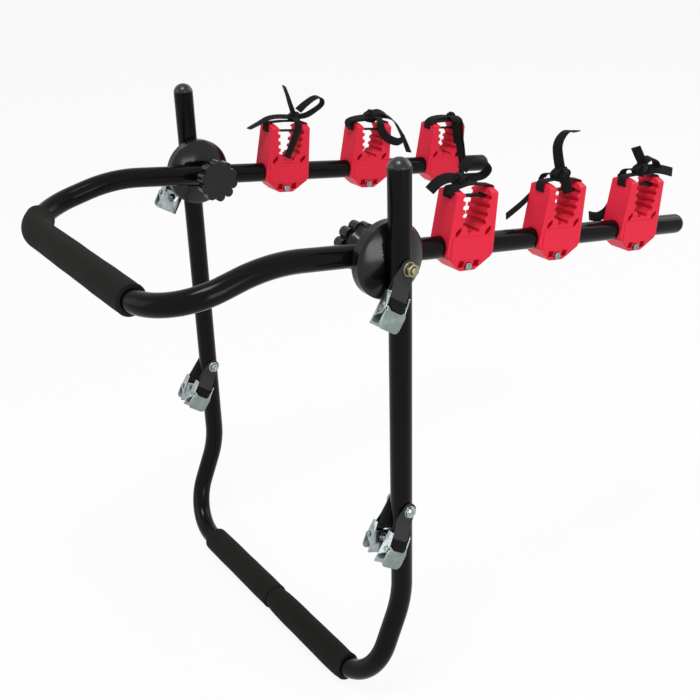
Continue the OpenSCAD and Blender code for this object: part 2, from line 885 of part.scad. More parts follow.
// Cam lever on its pin, its plate held parallel to the buckle's back by a spring
module lever_shape() {
  edge = [
    [frame_w / 2, 0],
    [frame_w / 2, lever_corner - lever_len],
    [frame_w / 2 - lever_corner / 3, lever_corner / 3 - lever_len],
    [frame_w / 2 - lever_corner, -lever_len]];
  color(zinc)
    translate([cam_x, 0, pin_z])
      difference() {
        union() {
          rotate([90, 0, 0]) cylinder(r = cam_r, h = lever_w, center = true);
          translate([cam_r - sheet_t / 2, 0, 0]) upright(sheet_t) polygon(both(edge));
        }
        rotate([90, 0, 0])
          cylinder(r = pin_r + run_gap, h = lever_w + 2 * past, center = true);
      }
}

// Places a buckle piece on the outer (1) or inner (-1) face of the right (1) or left (-1) leg
module at_tab(side, face, z, lean) {
  mirror([side < 0 ? 1 : 0, 0, 0])
    translate([leg_x, hub_y, z])
      mirror([face < 0 ? 1 : 0, 0, 0])
        translate([tube_r, 0, 0]) rotate([-lean, 0, 0]) children();
}

module upper(side) {
  at_tab(side, 1, hub_z, upper_lean[side < 0 ? 1 : 0]) children();
}

module lower_outer(side) {
  at_tab(side, 1, lower_z, lower_outer_lean[side < 0 ? 1 : 0]) children();
}

module lower_inner(side) {
  at_tab(side, -1, lower_z, lower_inner_lean[side < 0 ? 1 : 0]) children();
}

main_hoop();
leg_caps();
lower_foam_left();
lower_foam_right();
mirror([1, 0, 0]) hub_outer();  // hub_outer_left
hub_outer();  // hub_outer_right
hub_nuts();
hub_washers();
lower_bolts();
lower_nuts();
lower_washers();
arms_hoop();
arm_caps();
upper_foam();
mirror([1, 0, 0]) hub_inner();  // hub_inner_left
hub_inner();  // hub_inner_right
cradle_bolts();
cradle_nuts();
at_cradle(-1, 0) cradle();  // cradle_left_1
at_cradle(-1, 1) cradle();  // cradle_left_2
at_cradle(-1, 2) cradle();  // cradle_left_3
at_cradle(1, 0) cradle();  // cradle_right_1
at_cradle(1, 1) cradle();  // cradle_right_2
at_cradle(1, 2) cradle();  // cradle_right_3
tie_left_1();
tie_left_2();
tie_left_3();
tie_right_1();
tie_right_2();
tie_right_3();
mirror([1, 0, 0]) knob();  // knob_left
knob();  // knob_right
mirror([1, 0, 0]) stud();  // stud_left
stud();  // stud_right
upper(1) tab_shape(stud_hole);  // tab_upper_right
upper(1) buckle_shape();  // buckle_upper_right
upper(1) lever_shape();  // lever_upper_right
upper(1) pin_shape();  // pin_upper_right
upper(-1) tab_shape(stud_hole);  // tab_upper_left
upper(-1) buckle_shape();  // buckle_upper_left
upper(-1) lever_shape();  // lever_upper_left
upper(-1) pin_shape();  // pin_upper_left
lower_outer(1) tab_shape(lower_hole);  // tab_outer_right
lower_outer(1) buckle_shape();  // buckle_outer_right
lower_outer(1) lever_shape();  // lever_outer_right
lower_outer(1) pin_shape();  // pin_outer_right
lower_outer(-1) tab_shape(lower_hole);  // tab_outer_left
lower_outer(-1) buckle_shape();  // buckle_outer_left
lower_outer(-1) lever_shape();  // lever_outer_left
lower_outer(-1) pin_shape();  // pin_outer_left
lower_inner(1) tab_shape(lower_hole);  // tab_inner_right
lower_inner(1) buckle_shape();  // buckle_inner_right
lower_inner(1) lever_shape();  // lever_inner_right
lower_inner(1) pin_shape();  // pin_inner_right
lower_inner(-1) tab_shape(lower_hole);  // tab_inner_left
lower_inner(-1) buckle_shape();  // buckle_inner_left
lower_inner(-1) lever_shape();  // lever_inner_left
lower_inner(-1) pin_shape();  // pin_inner_left
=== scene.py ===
"""Trunk mounted bike rack: dressed pieces, finishes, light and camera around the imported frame.

Sizes are in millimetres, in the frame of the solids; meshes are scaled to metres when they are finished.
"""

import json
import logging
import math
from dataclasses import dataclass, field
from enum import Enum
from functools import cache

import bmesh
import bpy
from mathutils import Matrix, Quaternion, Vector

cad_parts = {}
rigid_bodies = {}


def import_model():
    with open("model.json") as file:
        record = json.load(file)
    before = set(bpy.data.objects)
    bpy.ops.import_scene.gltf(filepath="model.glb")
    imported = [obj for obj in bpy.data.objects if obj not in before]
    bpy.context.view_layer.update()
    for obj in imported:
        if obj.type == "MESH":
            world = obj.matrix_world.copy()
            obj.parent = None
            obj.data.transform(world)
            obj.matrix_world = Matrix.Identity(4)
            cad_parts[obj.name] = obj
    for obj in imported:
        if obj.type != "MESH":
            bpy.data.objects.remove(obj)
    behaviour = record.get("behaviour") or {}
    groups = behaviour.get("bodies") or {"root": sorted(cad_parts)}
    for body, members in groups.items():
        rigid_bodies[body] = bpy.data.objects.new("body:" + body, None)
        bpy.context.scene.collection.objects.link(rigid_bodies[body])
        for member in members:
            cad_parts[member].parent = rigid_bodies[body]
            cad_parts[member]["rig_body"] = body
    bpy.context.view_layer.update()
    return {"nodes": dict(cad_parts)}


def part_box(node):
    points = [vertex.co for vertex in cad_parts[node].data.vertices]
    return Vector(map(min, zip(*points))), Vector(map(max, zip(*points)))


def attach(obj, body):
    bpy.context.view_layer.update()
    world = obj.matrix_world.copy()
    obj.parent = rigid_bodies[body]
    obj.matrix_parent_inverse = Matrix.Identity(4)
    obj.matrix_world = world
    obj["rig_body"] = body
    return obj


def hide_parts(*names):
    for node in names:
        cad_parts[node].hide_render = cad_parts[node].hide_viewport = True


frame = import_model()
NODES: dict[str, bpy.types.Object] = frame["nodes"]

log = logging.getLogger("bike_rack")

MM = 0.001
SIDEWAYS = Vector((1.0, 0.0, 0.0))
LENGTHWAYS = Vector((0.0, 1.0, 0.0))
Triple = tuple[float, float, float]
Colour = Triple
Spot = Triple
Socket = bpy.types.NodeSocket
Inputs = dict[str | int, object]


class Slot(Enum):
    """Material slots of the record."""

    TUBE = "tube_paint"
    FOAM = "foam"
    HUB = "hub_plastic"
    CAP = "cap_plastic"
    CRADLE = "cradle_plastic"
    TIE = "tie_webbing"
    TAB = "tab_webbing"
    ZINC = "zinc_steel"
    YELLOW = "yellow_zinc"


class Side(Enum):
    """Side of the rack, seen from behind the car."""

    RIGHT = 1
    LEFT = -1

    @property
    def word(self) -> str:
        """Name of the side as the solids' names use it."""
        return self.name.lower()


class Place(Enum):
    """Place of a webbing tab on its leg."""

    UPPER = "upper"
    OUTER = "outer"
    INNER = "inner"


@dataclass(frozen=True)
class RackSizes:
    """Sizes and places of the solids that several sub-assemblies share."""

    tube_r: float = 12.7
    foam_in: float = 12.85
    foam_out: float = 18.05
    leg_x: float = 235.0
    leg_y: float = 50.0
    arm_x: float = 192.5
    hub_z: float = 548.0
    droop: float = 8.4

    def arms_plane(self) -> Matrix:
        """Places the arms' plane on the hub axis, Y along the arms and Z square to them."""
        lift = Matrix.Translation((0.0, self.leg_y, self.hub_z))
        return lift @ Matrix.Rotation(math.radians(-self.droop), 4, "X")


RACK = RackSizes()


# Node groups and finishes


def feed(tree: bpy.types.NodeTree, node: bpy.types.Node, inputs: Inputs) -> None:
    """Links sockets to a node's inputs, or sets their values.

    Args:
        tree: Node tree that holds the node.
        node: Node to feed.
        inputs: Socket or value of each input, by its name or number.
    """
    for label, given in inputs.items():
        if isinstance(given, Socket):
            tree.links.new(given, node.inputs[label])
        else:
            node.inputs[label].default_value = given


def add_node(
    tree: bpy.types.NodeTree, kind: str, inputs: Inputs | None = None, **settings: object
) -> bpy.types.Node:
    """Adds a node to a tree.

    Args:
        tree: Node tree that takes the node.
        kind: Type of the node, without its ShaderNode.
        inputs: Socket or value of each input, by its name or number.
        settings: The node's own settings, such as its operation.

    Returns:
        The node.
    """
    node = tree.nodes.new(f"ShaderNode{kind}")
    for label, value in settings.items():
        setattr(node, label, value)
    feed(tree, node, inputs or {})
    return node


def mix_colour(tree: bpy.types.NodeTree, mask: Socket, first: Colour | Socket, second: Colour) -> Socket:
    """Mixes two colours by a mask.

    Args:
        tree: Node tree of the material.
        mask: Socket with the share of the second colour.
        first: Colour, or a socket that gives one.
        second: Colour.

    Returns:
        The socket of the mixed colour.
    """
    start = (*first, 1.0) if isinstance(first, tuple) else first
    # Inputs 6 and 7 and output 2 are a Mix node's colours
    mix = add_node(tree, "Mix", {"Factor": mask, 6: start, 7: (*second, 1.0)}, data_type="RGBA")
    return mix.outputs[2]


class Effects:
    """Node groups that several finishes share, each built once."""

    VALUE = "NodeSocketFloat"
    VECTOR = "NodeSocketVector"
    # Cosines between the true normal and the rounded one where the edge wear and painted highlight start and
    # where they are full
    WEAR_RANGE = (0.99, 0.85)
    PATCH_SCALE = 260.0
    # Open shares of the surroundings where the painted cavity shade starts and where it is full
    CAVITY_RANGE = (0.9, 0.35)
    FUZZ_SCALE = 1400.0

    @classmethod
    def _group(
        cls, name: str, inputs: dict[str, float | None], outputs: dict[str, str]
    ) -> tuple[bpy.types.NodeTree, bpy.types.bpy_prop_collection, bpy.types.Node]:
        """Makes an empty shader group.

        Args:
            name: Name of the group.
            inputs: Default of each input, by name; None for a vector.
            outputs: Socket type of each output, by name.

        Returns:
            The group, the sockets that give its inputs, and its output node.
        """
        group = bpy.data.node_groups.new(name, "ShaderNodeTree")
        for label, value in inputs.items():
            kind = cls.VECTOR if value is None else cls.VALUE
            socket = group.interface.new_socket(label, in_out="INPUT", socket_type=kind)
            if value is not None:
                socket.default_value = value
        for label, kind in outputs.items():
            group.interface.new_socket(label, in_out="OUTPUT", socket_type=kind)
        given = group.nodes.new("NodeGroupInput").outputs
        return group, given, group.nodes.new("NodeGroupOutput")

    @classmethod
    @cache
    def grain(cls) -> bpy.types.NodeTree:
        """Fine grain for bump, with a slow mottle for colour and gloss.

        Returns:
            The group.
        """
        group, given, out = cls._group(
            "surface_grain", {"Vector": None, "Grain": 900.0, "Mottle": 30.0},
            {"Height": cls.VALUE, "Mottle": cls.VALUE},
        )
        where = given["Vector"]
        fine = add_node(group, "TexNoise", {"Vector": where, "Scale": given["Grain"], "Detail": 3.0})
        slow = add_node(
            group, "TexNoise", {"Vector": where, "Scale": given["Mottle"], "Detail": 4.0, "Roughness": 0.6}
        )
        feed(group, out, {"Height": fine.outputs["Fac"], "Mottle": slow.outputs["Fac"]})
        return group

    @classmethod
    @cache
    def edge_wear(cls) -> bpy.types.NodeTree:
        """Normal that is rounded at edges, and a mask that is 1 there, broken up by noise, that lightens
        edges partly as wear and partly as painted highlight.

        Returns:
            The group.
        """
        group, given, out = cls._group(
            "edge_wear", {"Vector": None, "Radius": 0.0008}, {"Mask": cls.VALUE, "Normal": cls.VECTOR}
        )
        rounded = add_node(group, "Bevel", {"Radius": given["Radius"]}, samples=4).outputs["Normal"]
        plain = add_node(group, "NewGeometry").outputs["Normal"]
        facing = add_node(group, "VectorMath", {0: rounded, 1: plain}, operation="DOT_PRODUCT")
        starts, full = cls.WEAR_RANGE
        edge = add_node(
            group, "MapRange", {"Value": facing.outputs["Value"], "From Min": starts, "From Max": full}
        )
        patchy = add_node(group, "TexNoise", {"Vector": given["Vector"], "Scale": cls.PATCH_SCALE})
        broken = add_node(
            group, "Math", {0: edge.outputs["Result"], 1: patchy.outputs["Fac"]}, operation="MULTIPLY"
        )
        feed(group, out, {"Mask": broken.outputs["Value"], "Normal": rounded})
        return group

    @classmethod
    @cache
    def cavity(cls) -> bpy.types.NodeTree:
        """Mask of painted shade that grows towards 1 in recesses and grooves.

        Returns:
            The group.
        """
        group, given, out = cls._group("cavity", {"Reach": 0.006}, {"Mask": cls.VALUE})
        openness = add_node(group, "AmbientOcclusion", {"Distance": given["Reach"]}, samples=6)
        starts, full = cls.CAVITY_RANGE
        hidden = add_node(
            group, "MapRange", {"Value": openness.outputs["AO"], "From Min": starts, "From Max": full}
        )
        feed(group, out, {"Mask": hidden.outputs["Result"]})
        return group

    @classmethod
    @cache
    def weave(cls) -> bpy.types.NodeTree:
        """Ribs of flat webbing: threads crossed by picks, from places across and along it in metres.

        Returns:
            The group.
        """
        group, given, out = cls._group(
            "webbing_weave", {"Vector": None, "Thread": 0.0011, "Pick": 0.0016},
            {"Height": cls.VALUE, "Shade": cls.VALUE},
        )
        split = add_node(group, "SeparateXYZ", {"Vector": given["Vector"]})
        waves = []
        for axis, pitch in (("X", "Thread"), ("Y", "Pick")):
            turns = add_node(group, "Math", {0: split.outputs[axis], 1: given[pitch]}, operation="DIVIDE")
            angle = add_node(group, "Math", {0: turns.outputs["Value"], 1: 2 * math.pi}, operation="MULTIPLY")
            wave = add_node(group, "Math", {0: angle.outputs["Value"]}, operation="SINE")
            waves.append(wave.outputs["Value"])
        cross = add_node(group, "Math", {0: waves[0], 1: waves[1]}, operation="MULTIPLY")
        level = add_node(group, "MapRange", {"Value": cross.outputs["Value"], "From Min": -1.0})
        fuzz = add_node(group, "TexNoise", {"Vector": given["Vector"], "Scale": cls.FUZZ_SCALE})
        ribs = level.outputs["Result"]
        shade = add_node(group, "Math", {0: ribs, 1: fuzz.outputs["Fac"]}, operation="MULTIPLY")
        feed(group, out, {"Height": ribs, "Shade": shade.outputs["Value"]})
        return group


@dataclass(frozen=True)
class Finish:
    """Surface of a rigid piece: mottled colour, edges lightened by wear and painted highlight, painted shade
    in recesses where set, and fine grain, with lengths in metres.
    """

    name: str
    colour: Colour
    second: Colour
    # Colour of the edges: partly wear, partly painted highlight
    edge: Colour
    roughness: tuple[float, float]
    grain: float
    mottle: float
    bump: float
    bump_reach: float
    wear_radius: float = 0.0008
    metallic: float = 0.0
    specular: float = 0.5
    sheen: float = 0.0
    # Colour of painted shade in recesses, and how far that shade reaches
    cavity: Colour | None = None
    cavity_reach: float = 0.006
    # Stretch of the mottle over which the roughness changes
    gloss_range: tuple[float, float] = (0.3, 0.7)

    @cache
    def material(self) -> bpy.types.Material:
        """Material of this finish, made on first use.

        Returns:
            The material.
        """
        made = bpy.data.materials.new(self.name)
        made.use_nodes = True
        tree = made.node_tree
        where = add_node(tree, "TexCoord").outputs["Object"]
        given = {"Vector": where, "Grain": self.grain, "Mottle": self.mottle}
        grain = add_node(tree, "Group", given, node_tree=Effects.grain()).outputs
        given = {"Vector": where, "Radius": self.wear_radius}
        wear_and_highlight = add_node(tree, "Group", given, node_tree=Effects.edge_wear()).outputs
        colour = mix_colour(tree, grain["Mottle"], self.colour, self.second)
        # Edges lightened partly by wear, partly by painted highlight
        colour = mix_colour(tree, wear_and_highlight["Mask"], colour, self.edge)
        # Recesses darkened by painted shade
        if self.cavity:
            recess_shade = add_node(tree, "Group", {"Reach": self.cavity_reach}, node_tree=Effects.cavity())
            colour = mix_colour(tree, recess_shade.outputs["Mask"], colour, self.cavity)
        gloss = add_node(tree, "MapRange", {
            "Value": grain["Mottle"], "From Min": self.gloss_range[0], "From Max": self.gloss_range[1],
            "To Min": self.roughness[0], "To Max": self.roughness[1],
        })
        relief = add_node(tree, "Bump", {
            "Strength": self.bump, "Distance": self.bump_reach, "Height": grain["Height"],
            "Normal": wear_and_highlight["Normal"],
        })
        feed(tree, tree.nodes["Principled BSDF"], {
            "Metallic": self.metallic, "Specular IOR Level": self.specular, "Sheen Weight": self.sheen,
            "Base Color": colour, "Roughness": gloss.outputs["Result"], "Normal": relief.outputs["Normal"],
        })
        return made


@dataclass(frozen=True)
class Webbing:
    """Woven strap: ribs from the piece's own weave attribute, with lengths in metres."""

    name: str
    colour: Colour
    light: Colour
    thread: float = 0.0011
    pick: float = 0.0016
    roughness: float = 0.8
    specular: float = 0.12
    sheen: float = 0.0
    sheen_roughness: float = 0.4
    bump: float = 0.6
    bump_reach: float = 0.0003

    @cache
    def material(self) -> bpy.types.Material:
        """Material of this webbing, made on first use.

        Returns:
            The material.
        """
        made = bpy.data.materials.new(self.name)
        made.use_nodes = True
        tree = made.node_tree
        where = add_node(tree, "Attribute", attribute_name=Ribbon.WEAVE).outputs["Vector"]
        given = {"Vector": where, "Thread": self.thread, "Pick": self.pick}
        weave = add_node(tree, "Group", given, node_tree=Effects.weave()).outputs
        relief = add_node(tree, "Bump", {
            "Strength": self.bump, "Distance": self.bump_reach, "Height": weave["Height"],
        })
        feed(tree, tree.nodes["Principled BSDF"], {
            "Roughness": self.roughness, "Specular IOR Level": self.specular,
            "Sheen Weight": self.sheen, "Sheen Roughness": self.sheen_roughness,
            "Base Color": mix_colour(tree, weave["Shade"], self.colour, self.light),
            "Normal": relief.outputs["Normal"],
        })
        return made


@dataclass(frozen=True)
class SlotFinish:
    """Plain finish that a slot has in the record."""

    slot: Slot

    def material(self) -> bpy.types.Material:
        """Material that came with the slot's solids."""
        return bpy.data.materials[self.slot.value]


# Each finish's third colour is its edges' wear and painted highlight
GLOSS_PAINT = Finish(
    "gloss_black_paint", (0.0022, 0.0022, 0.0024), (0.0034, 0.0034, 0.0036), (0.008, 0.008, 0.0085),
    roughness=(0.12, 0.19), grain=420.0, mottle=24.0, bump=0.03, bump_reach=0.0004, specular=0.1,
)
SLEEVE_FOAM = Finish(
    "sleeve_foam", (0.009, 0.009, 0.0085), (0.016, 0.016, 0.0145), (0.05, 0.05, 0.047),
    roughness=(0.85, 0.98), grain=1500.0, mottle=45.0, bump=0.5, bump_reach=0.0005, wear_radius=0.0016,
    specular=0.08, sheen=0.02,
)
HUB_PLASTIC = Finish(
    "hub_satin_plastic", (0.004, 0.0041, 0.0045), (0.0065, 0.0066, 0.0072), (0.02, 0.02, 0.021),
    roughness=(0.15, 0.22), grain=1800.0, mottle=40.0, bump=0.05, bump_reach=0.0002, wear_radius=0.0012,
    specular=0.3,
)
CAP_PLASTIC = Finish(
    "cap_satin_plastic", (0.004, 0.0044, 0.0054), (0.007, 0.0075, 0.009), (0.016, 0.016, 0.018),
    roughness=(0.24, 0.31), grain=1600.0, mottle=40.0, bump=0.05, bump_reach=0.0002, specular=0.45,
)
# Pink edge colour is partly painted highlight; the cavity colour is painted shade in the dimples, pockets and
# grooves
CRADLE_PLASTIC = Finish(
    "cradle_red_plastic", (0.7, 0.019, 0.048), (0.74, 0.026, 0.058), (0.95, 0.12, 0.17),
    roughness=(0.34, 0.44), grain=1300.0, mottle=25.0, bump=0.1, bump_reach=0.0003, wear_radius=0.0005,
    specular=0.09, cavity=(0.7, 0.004, 0.026),
)
ZINC_STEEL = Finish(
    "zinc_plated_steel", (0.13, 0.165, 0.16), (0.36, 0.43, 0.415), (0.85, 0.89, 0.89),
    roughness=(0.2, 0.36), grain=300.0, mottle=90.0, bump=0.03, bump_reach=0.0003, metallic=1.0,
)
BRIGHT_ZINC = Finish(
    "bright_zinc_steel", (0.1, 0.125, 0.13), (0.6, 0.66, 0.67), (0.93, 0.95, 0.96),
    roughness=(0.12, 0.3), grain=300.0, mottle=150.0, bump=0.05, bump_reach=0.0003, metallic=1.0,
)
YELLOW_ZINC = Finish(
    "yellow_plated_steel", (0.16, 0.14, 0.08), (0.4, 0.38, 0.25), (0.6, 0.57, 0.43),
    roughness=(0.26, 0.4), grain=300.0, mottle=160.0, bump=0.03, bump_reach=0.0003, metallic=1.0,
)
TIE_WEBBING = Webbing("tie_strap_webbing", (0.003, 0.003, 0.0035), (0.014, 0.014, 0.015), sheen=0.04)
# Darker copy of the tab webbing: painted shade for the flap that lies in the buckle's shade
SHADED_FOLD_WEBBING = Webbing(
    "fold_webbing", (0.0015, 0.0015, 0.002), (0.006, 0.006, 0.007), thread=0.0014, pick=0.002
)

FINISHES: dict[Slot, Finish | Webbing | SlotFinish] = {
    Slot.TUBE: GLOSS_PAINT,
    Slot.FOAM: SLEEVE_FOAM,
    Slot.HUB: HUB_PLASTIC,
    Slot.CAP: CAP_PLASTIC,
    Slot.CRADLE: CRADLE_PLASTIC,
    Slot.TIE: TIE_WEBBING,
    Slot.TAB: SlotFinish(Slot.TAB),
    Slot.ZINC: ZINC_STEEL,
    Slot.YELLOW: YELLOW_ZINC,
}


# Routes, sweeps and finished pieces


def spaced(start: float, end: float, step: float = 8.0) -> list[float]:
    """Evenly spaced values.

    Args:
        start: First value.
        end: Last value.
        step: Distance between two values, about.

    Returns:
        The values.
    """
    count = max(1, round(abs(end - start) / step))
    return [start + (end - start) * i / count for i in range(count + 1)]


def rounded_route(
    corners: list[Vector], radii: list[float], step: float = 6.0, least: int = 4
) -> list[Vector]:
    """Route along straight runs, with a round bend at each inner corner.

    Args:
        corners: Ends and corners of the route.
        radii: Bend radius at each inner corner.
        step: Longest distance between points in a bend.
        least: Least number of pieces in a bend.

    Returns:
        Points of the route.
    """
    route = [corners[0].copy()]
    for before, at, after, radius in zip(corners, corners[1:], corners[2:], radii):
        back, on = (before - at).normalized(), (after - at).normalized()
        half = back.angle(on) / 2
        centre = at + (back + on).normalized() * (radius / math.sin(half))
        start = at + back * (radius / math.tan(half)) - centre
        end = at + on * (radius / math.tan(half)) - centre
        turn = start.rotation_difference(end)
        pieces = max(least, math.ceil(turn.angle * radius / step))
        for i in range(pieces + 1):
            route.append(centre + Quaternion().slerp(turn, i / pieces) @ start)
    route.append(corners[-1].copy())
    return route


def hoop_route(right: list[Vector], bend_r: float, corner_r: float) -> list[Vector]:
    """Route of a hoop from its right half, mirrored.

    Args:
        right: End, bend and corner of the right half.
        bend_r: Radius of the bends.
        corner_r: Radius of the corners.

    Returns:
        Points of the route, from the right end to the left one.
    """
    left = [Vector((-p.x, p.y, p.z)) for p in reversed(right)]
    return rounded_route(right + left, [bend_r, corner_r, corner_r, bend_r])


def corner_wrap(half: float, radius: float, wrap: float, side: Side, step: float = 4.0) -> list[Vector]:
    """Stretch of a crossbar's centre line round its corner.

    Args:
        half: Half length of the crossbar's straight.
        radius: Radius of the corner.
        wrap: Degrees of the corner that the stretch covers.
        side: Side of the corner.
        step: Degrees between two points, about.

    Returns:
        Points from the straight outwards.
    """
    count = max(2, round(wrap / step))
    angles = [math.radians(wrap) * i / count for i in range(1, count + 1)]
    return [
        Vector((side.value * (half + radius * math.sin(a)), radius * (1 - math.cos(a)), 0.0)) for a in angles
    ]


def smooth_route(points: list[Vector], steps: int = 6) -> list[Vector]:
    """Smooth curve through points.

    Args:
        points: Points to pass through.
        steps: Pieces between two points.

    Returns:
        Points of the curve.
    """
    last = len(points) - 1
    route = []
    for i in range(last):
        p0, p1, p2, p3 = (points[min(max(k, 0), last)] for k in (i - 1, i, i + 1, i + 2))
        for k in range(steps):
            t = k / steps
            route.append(
                0.5 * (2 * p1 + (p2 - p0) * t + (2 * p0 - 5 * p1 + 4 * p2 - p3) * t * t
                       + (3 * p1 - p0 - 3 * p2 + p3) * t ** 3)
            )
    return route + [points[last].copy()]


def frames_along(route: list[Vector], across: Vector, closed: bool = False) -> list[Matrix]:
    """Frames on a route, Z along it and X turned as little as possible from point to point.

    Args:
        route: Points of the route.
        across: Direction of X at the first point, about square to the route.
        closed: Whether the last point joins the first.

    Returns:
        One frame for each point.
    """
    count = len(route)
    ways = []
    for i in range(count):
        before = route[i - 1] if closed or i else route[0]
        after = route[(i + 1) % count] if closed or i < count - 1 else route[-1]
        ways.append((after - before).normalized())
    side = (across - ways[0] * across.dot(ways[0])).normalized()
    frames = []
    for i, way in enumerate(ways):
        if i:
            side = ways[i - 1].rotation_difference(way) @ side
            side = (side - way * side.dot(way)).normalized()
        up = way.cross(side)
        frames.append(Matrix((side, up, way)).transposed().to_4x4())
        frames[-1].translation = route[i]
    return frames


class Ribbon:
    """Sweep of a closed section along frames, with its place across and along kept for the weave."""

    WEAVE = "weave"

    def __init__(self, section: list[tuple[float, float]]) -> None:
        """Keeps the section's outline.

        Args:
            section: Points of the outline in the frames' X and Y.
        """
        self.section = section

    @classmethod
    def round(cls, segments: int) -> "Ribbon":
        """Round section of radius 1, with so many segments."""
        turn = 2 * math.pi / segments
        return cls([(math.cos(i * turn), math.sin(i * turn)) for i in range(segments)])

    @classmethod
    def flat(cls, width: float, thick: float, rows: int = 6) -> "Ribbon":
        """Flat section with rounded edges.

        Args:
            width: Width of the strap.
            thick: Thickness of the strap.
            rows: Number of strips across.

        Returns:
            The ribbon.
        """
        inner = width / 2 - thick / 2
        over = [(inner - 2 * inner * i / rows, thick / 2) for i in range(rows + 1)]
        under = [(-x, -y) for x, y in over]
        return cls(over + [(-width / 2, 0.0)] + under + [(width / 2, 0.0)])

    def sweep(self, bm: bmesh.types.BMesh, frames: list[Matrix], closed: bool = False) -> None:
        """Draws the section along frames by repeated extrusion.

        Args:
            bm: Mesh to draw in.
            frames: Frames of the route; their scale sizes the section.
            closed: Whether the last section joins the first instead of both ends being closed.
        """
        layers = bm.verts.layers.float_vector
        weave = layers.get(self.WEAVE) or layers.new(self.WEAVE)
        verts = bmesh.ops.create_circle(bm, segments=len(self.section), radius=1.0)["verts"]
        for vert, (x, y) in zip(verts, self.section):
            vert.co = (x, y, 0.0)
        bmesh.ops.transform(bm, matrix=frames[0], verts=verts)
        ring = list({edge for vert in verts for edge in vert.link_edges})
        first, along = ring, 0.0
        self._note(verts, frames[0], along, weave)
        for before, here in zip(frames, frames[1:]):
            grown = bmesh.ops.extrude_edge_only(bm, edges=ring)["geom"]
            verts = [item for item in grown if isinstance(item, bmesh.types.BMVert)]
            kept = set(verts)
            ring = [
                item for item in grown
                if isinstance(item, bmesh.types.BMEdge) and item.verts[0] in kept and item.verts[1] in kept
            ]
            bmesh.ops.transform(bm, matrix=here @ before.inverted(), verts=verts)
            along += (here.translation - before.translation).length
            self._note(verts, here, along, weave)
        if closed:
            bmesh.ops.bridge_loops(bm, edges=first + ring)
        else:
            bmesh.ops.edgeloop_fill(bm, edges=first)
            bmesh.ops.edgeloop_fill(bm, edges=ring)

    @staticmethod
    def _note(
        verts: list[bmesh.types.BMVert], here: Matrix, along: float, weave: bmesh.types.BMLayerItem
    ) -> None:
        """Keeps each vertex's place across and along the strap, in metres.

        Args:
            verts: Vertices of one section.
            here: Frame of the section.
            along: Distance from the strap's start.
            weave: Layer that keeps the place.
        """
        back = here.inverted()
        for vert in verts:
            vert[weave] = Vector(((back @ vert.co).x * here.to_scale().x * MM, along * MM, 0.0))


def finish_piece(
    bm: bmesh.types.BMesh, name: str, body: str, slot: Slot, replaced: tuple[str, ...] = (),
    sharp: float = 35.0, turn_out: bool = True, scale: float = MM, finish: Finish | Webbing | None = None,
) -> bpy.types.Object:
    """Turns a mesh under construction into a finished piece on its body.

    Args:
        bm: Mesh under construction, which is freed.
        name: Name of the piece.
        body: Body that the piece rides on.
        slot: Material slot of the piece.
        replaced: Solids that the piece stands for.
        sharp: Angle in degrees above which an edge stays sharp.
        turn_out: Whether the faces are first turned outwards.
        scale: Metres for one unit of the mesh.
        finish: Finish of the piece, when it is not its slot's own.

    Returns:
        The piece's object.
    """
    if turn_out:
        bmesh.ops.recalc_face_normals(bm, faces=bm.faces)
    bmesh.ops.scale(bm, vec=(scale,) * 3, verts=bm.verts)
    mesh = bpy.data.meshes.new(name)
    bm.to_mesh(mesh)
    bm.free()
    mesh.polygons.foreach_set("use_smooth", [True] * len(mesh.polygons))
    mesh.set_sharp_from_angle(angle=math.radians(sharp))
    mesh.materials.append((finish or FINISHES[slot]).material())
    piece = bpy.data.objects.new(name, mesh)
    bpy.context.scene.collection.objects.link(piece)
    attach(piece, body)
    if replaced:
        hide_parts(*replaced)
    log.info("%s on %s: %d faces", name, body, len(mesh.polygons))
    return piece


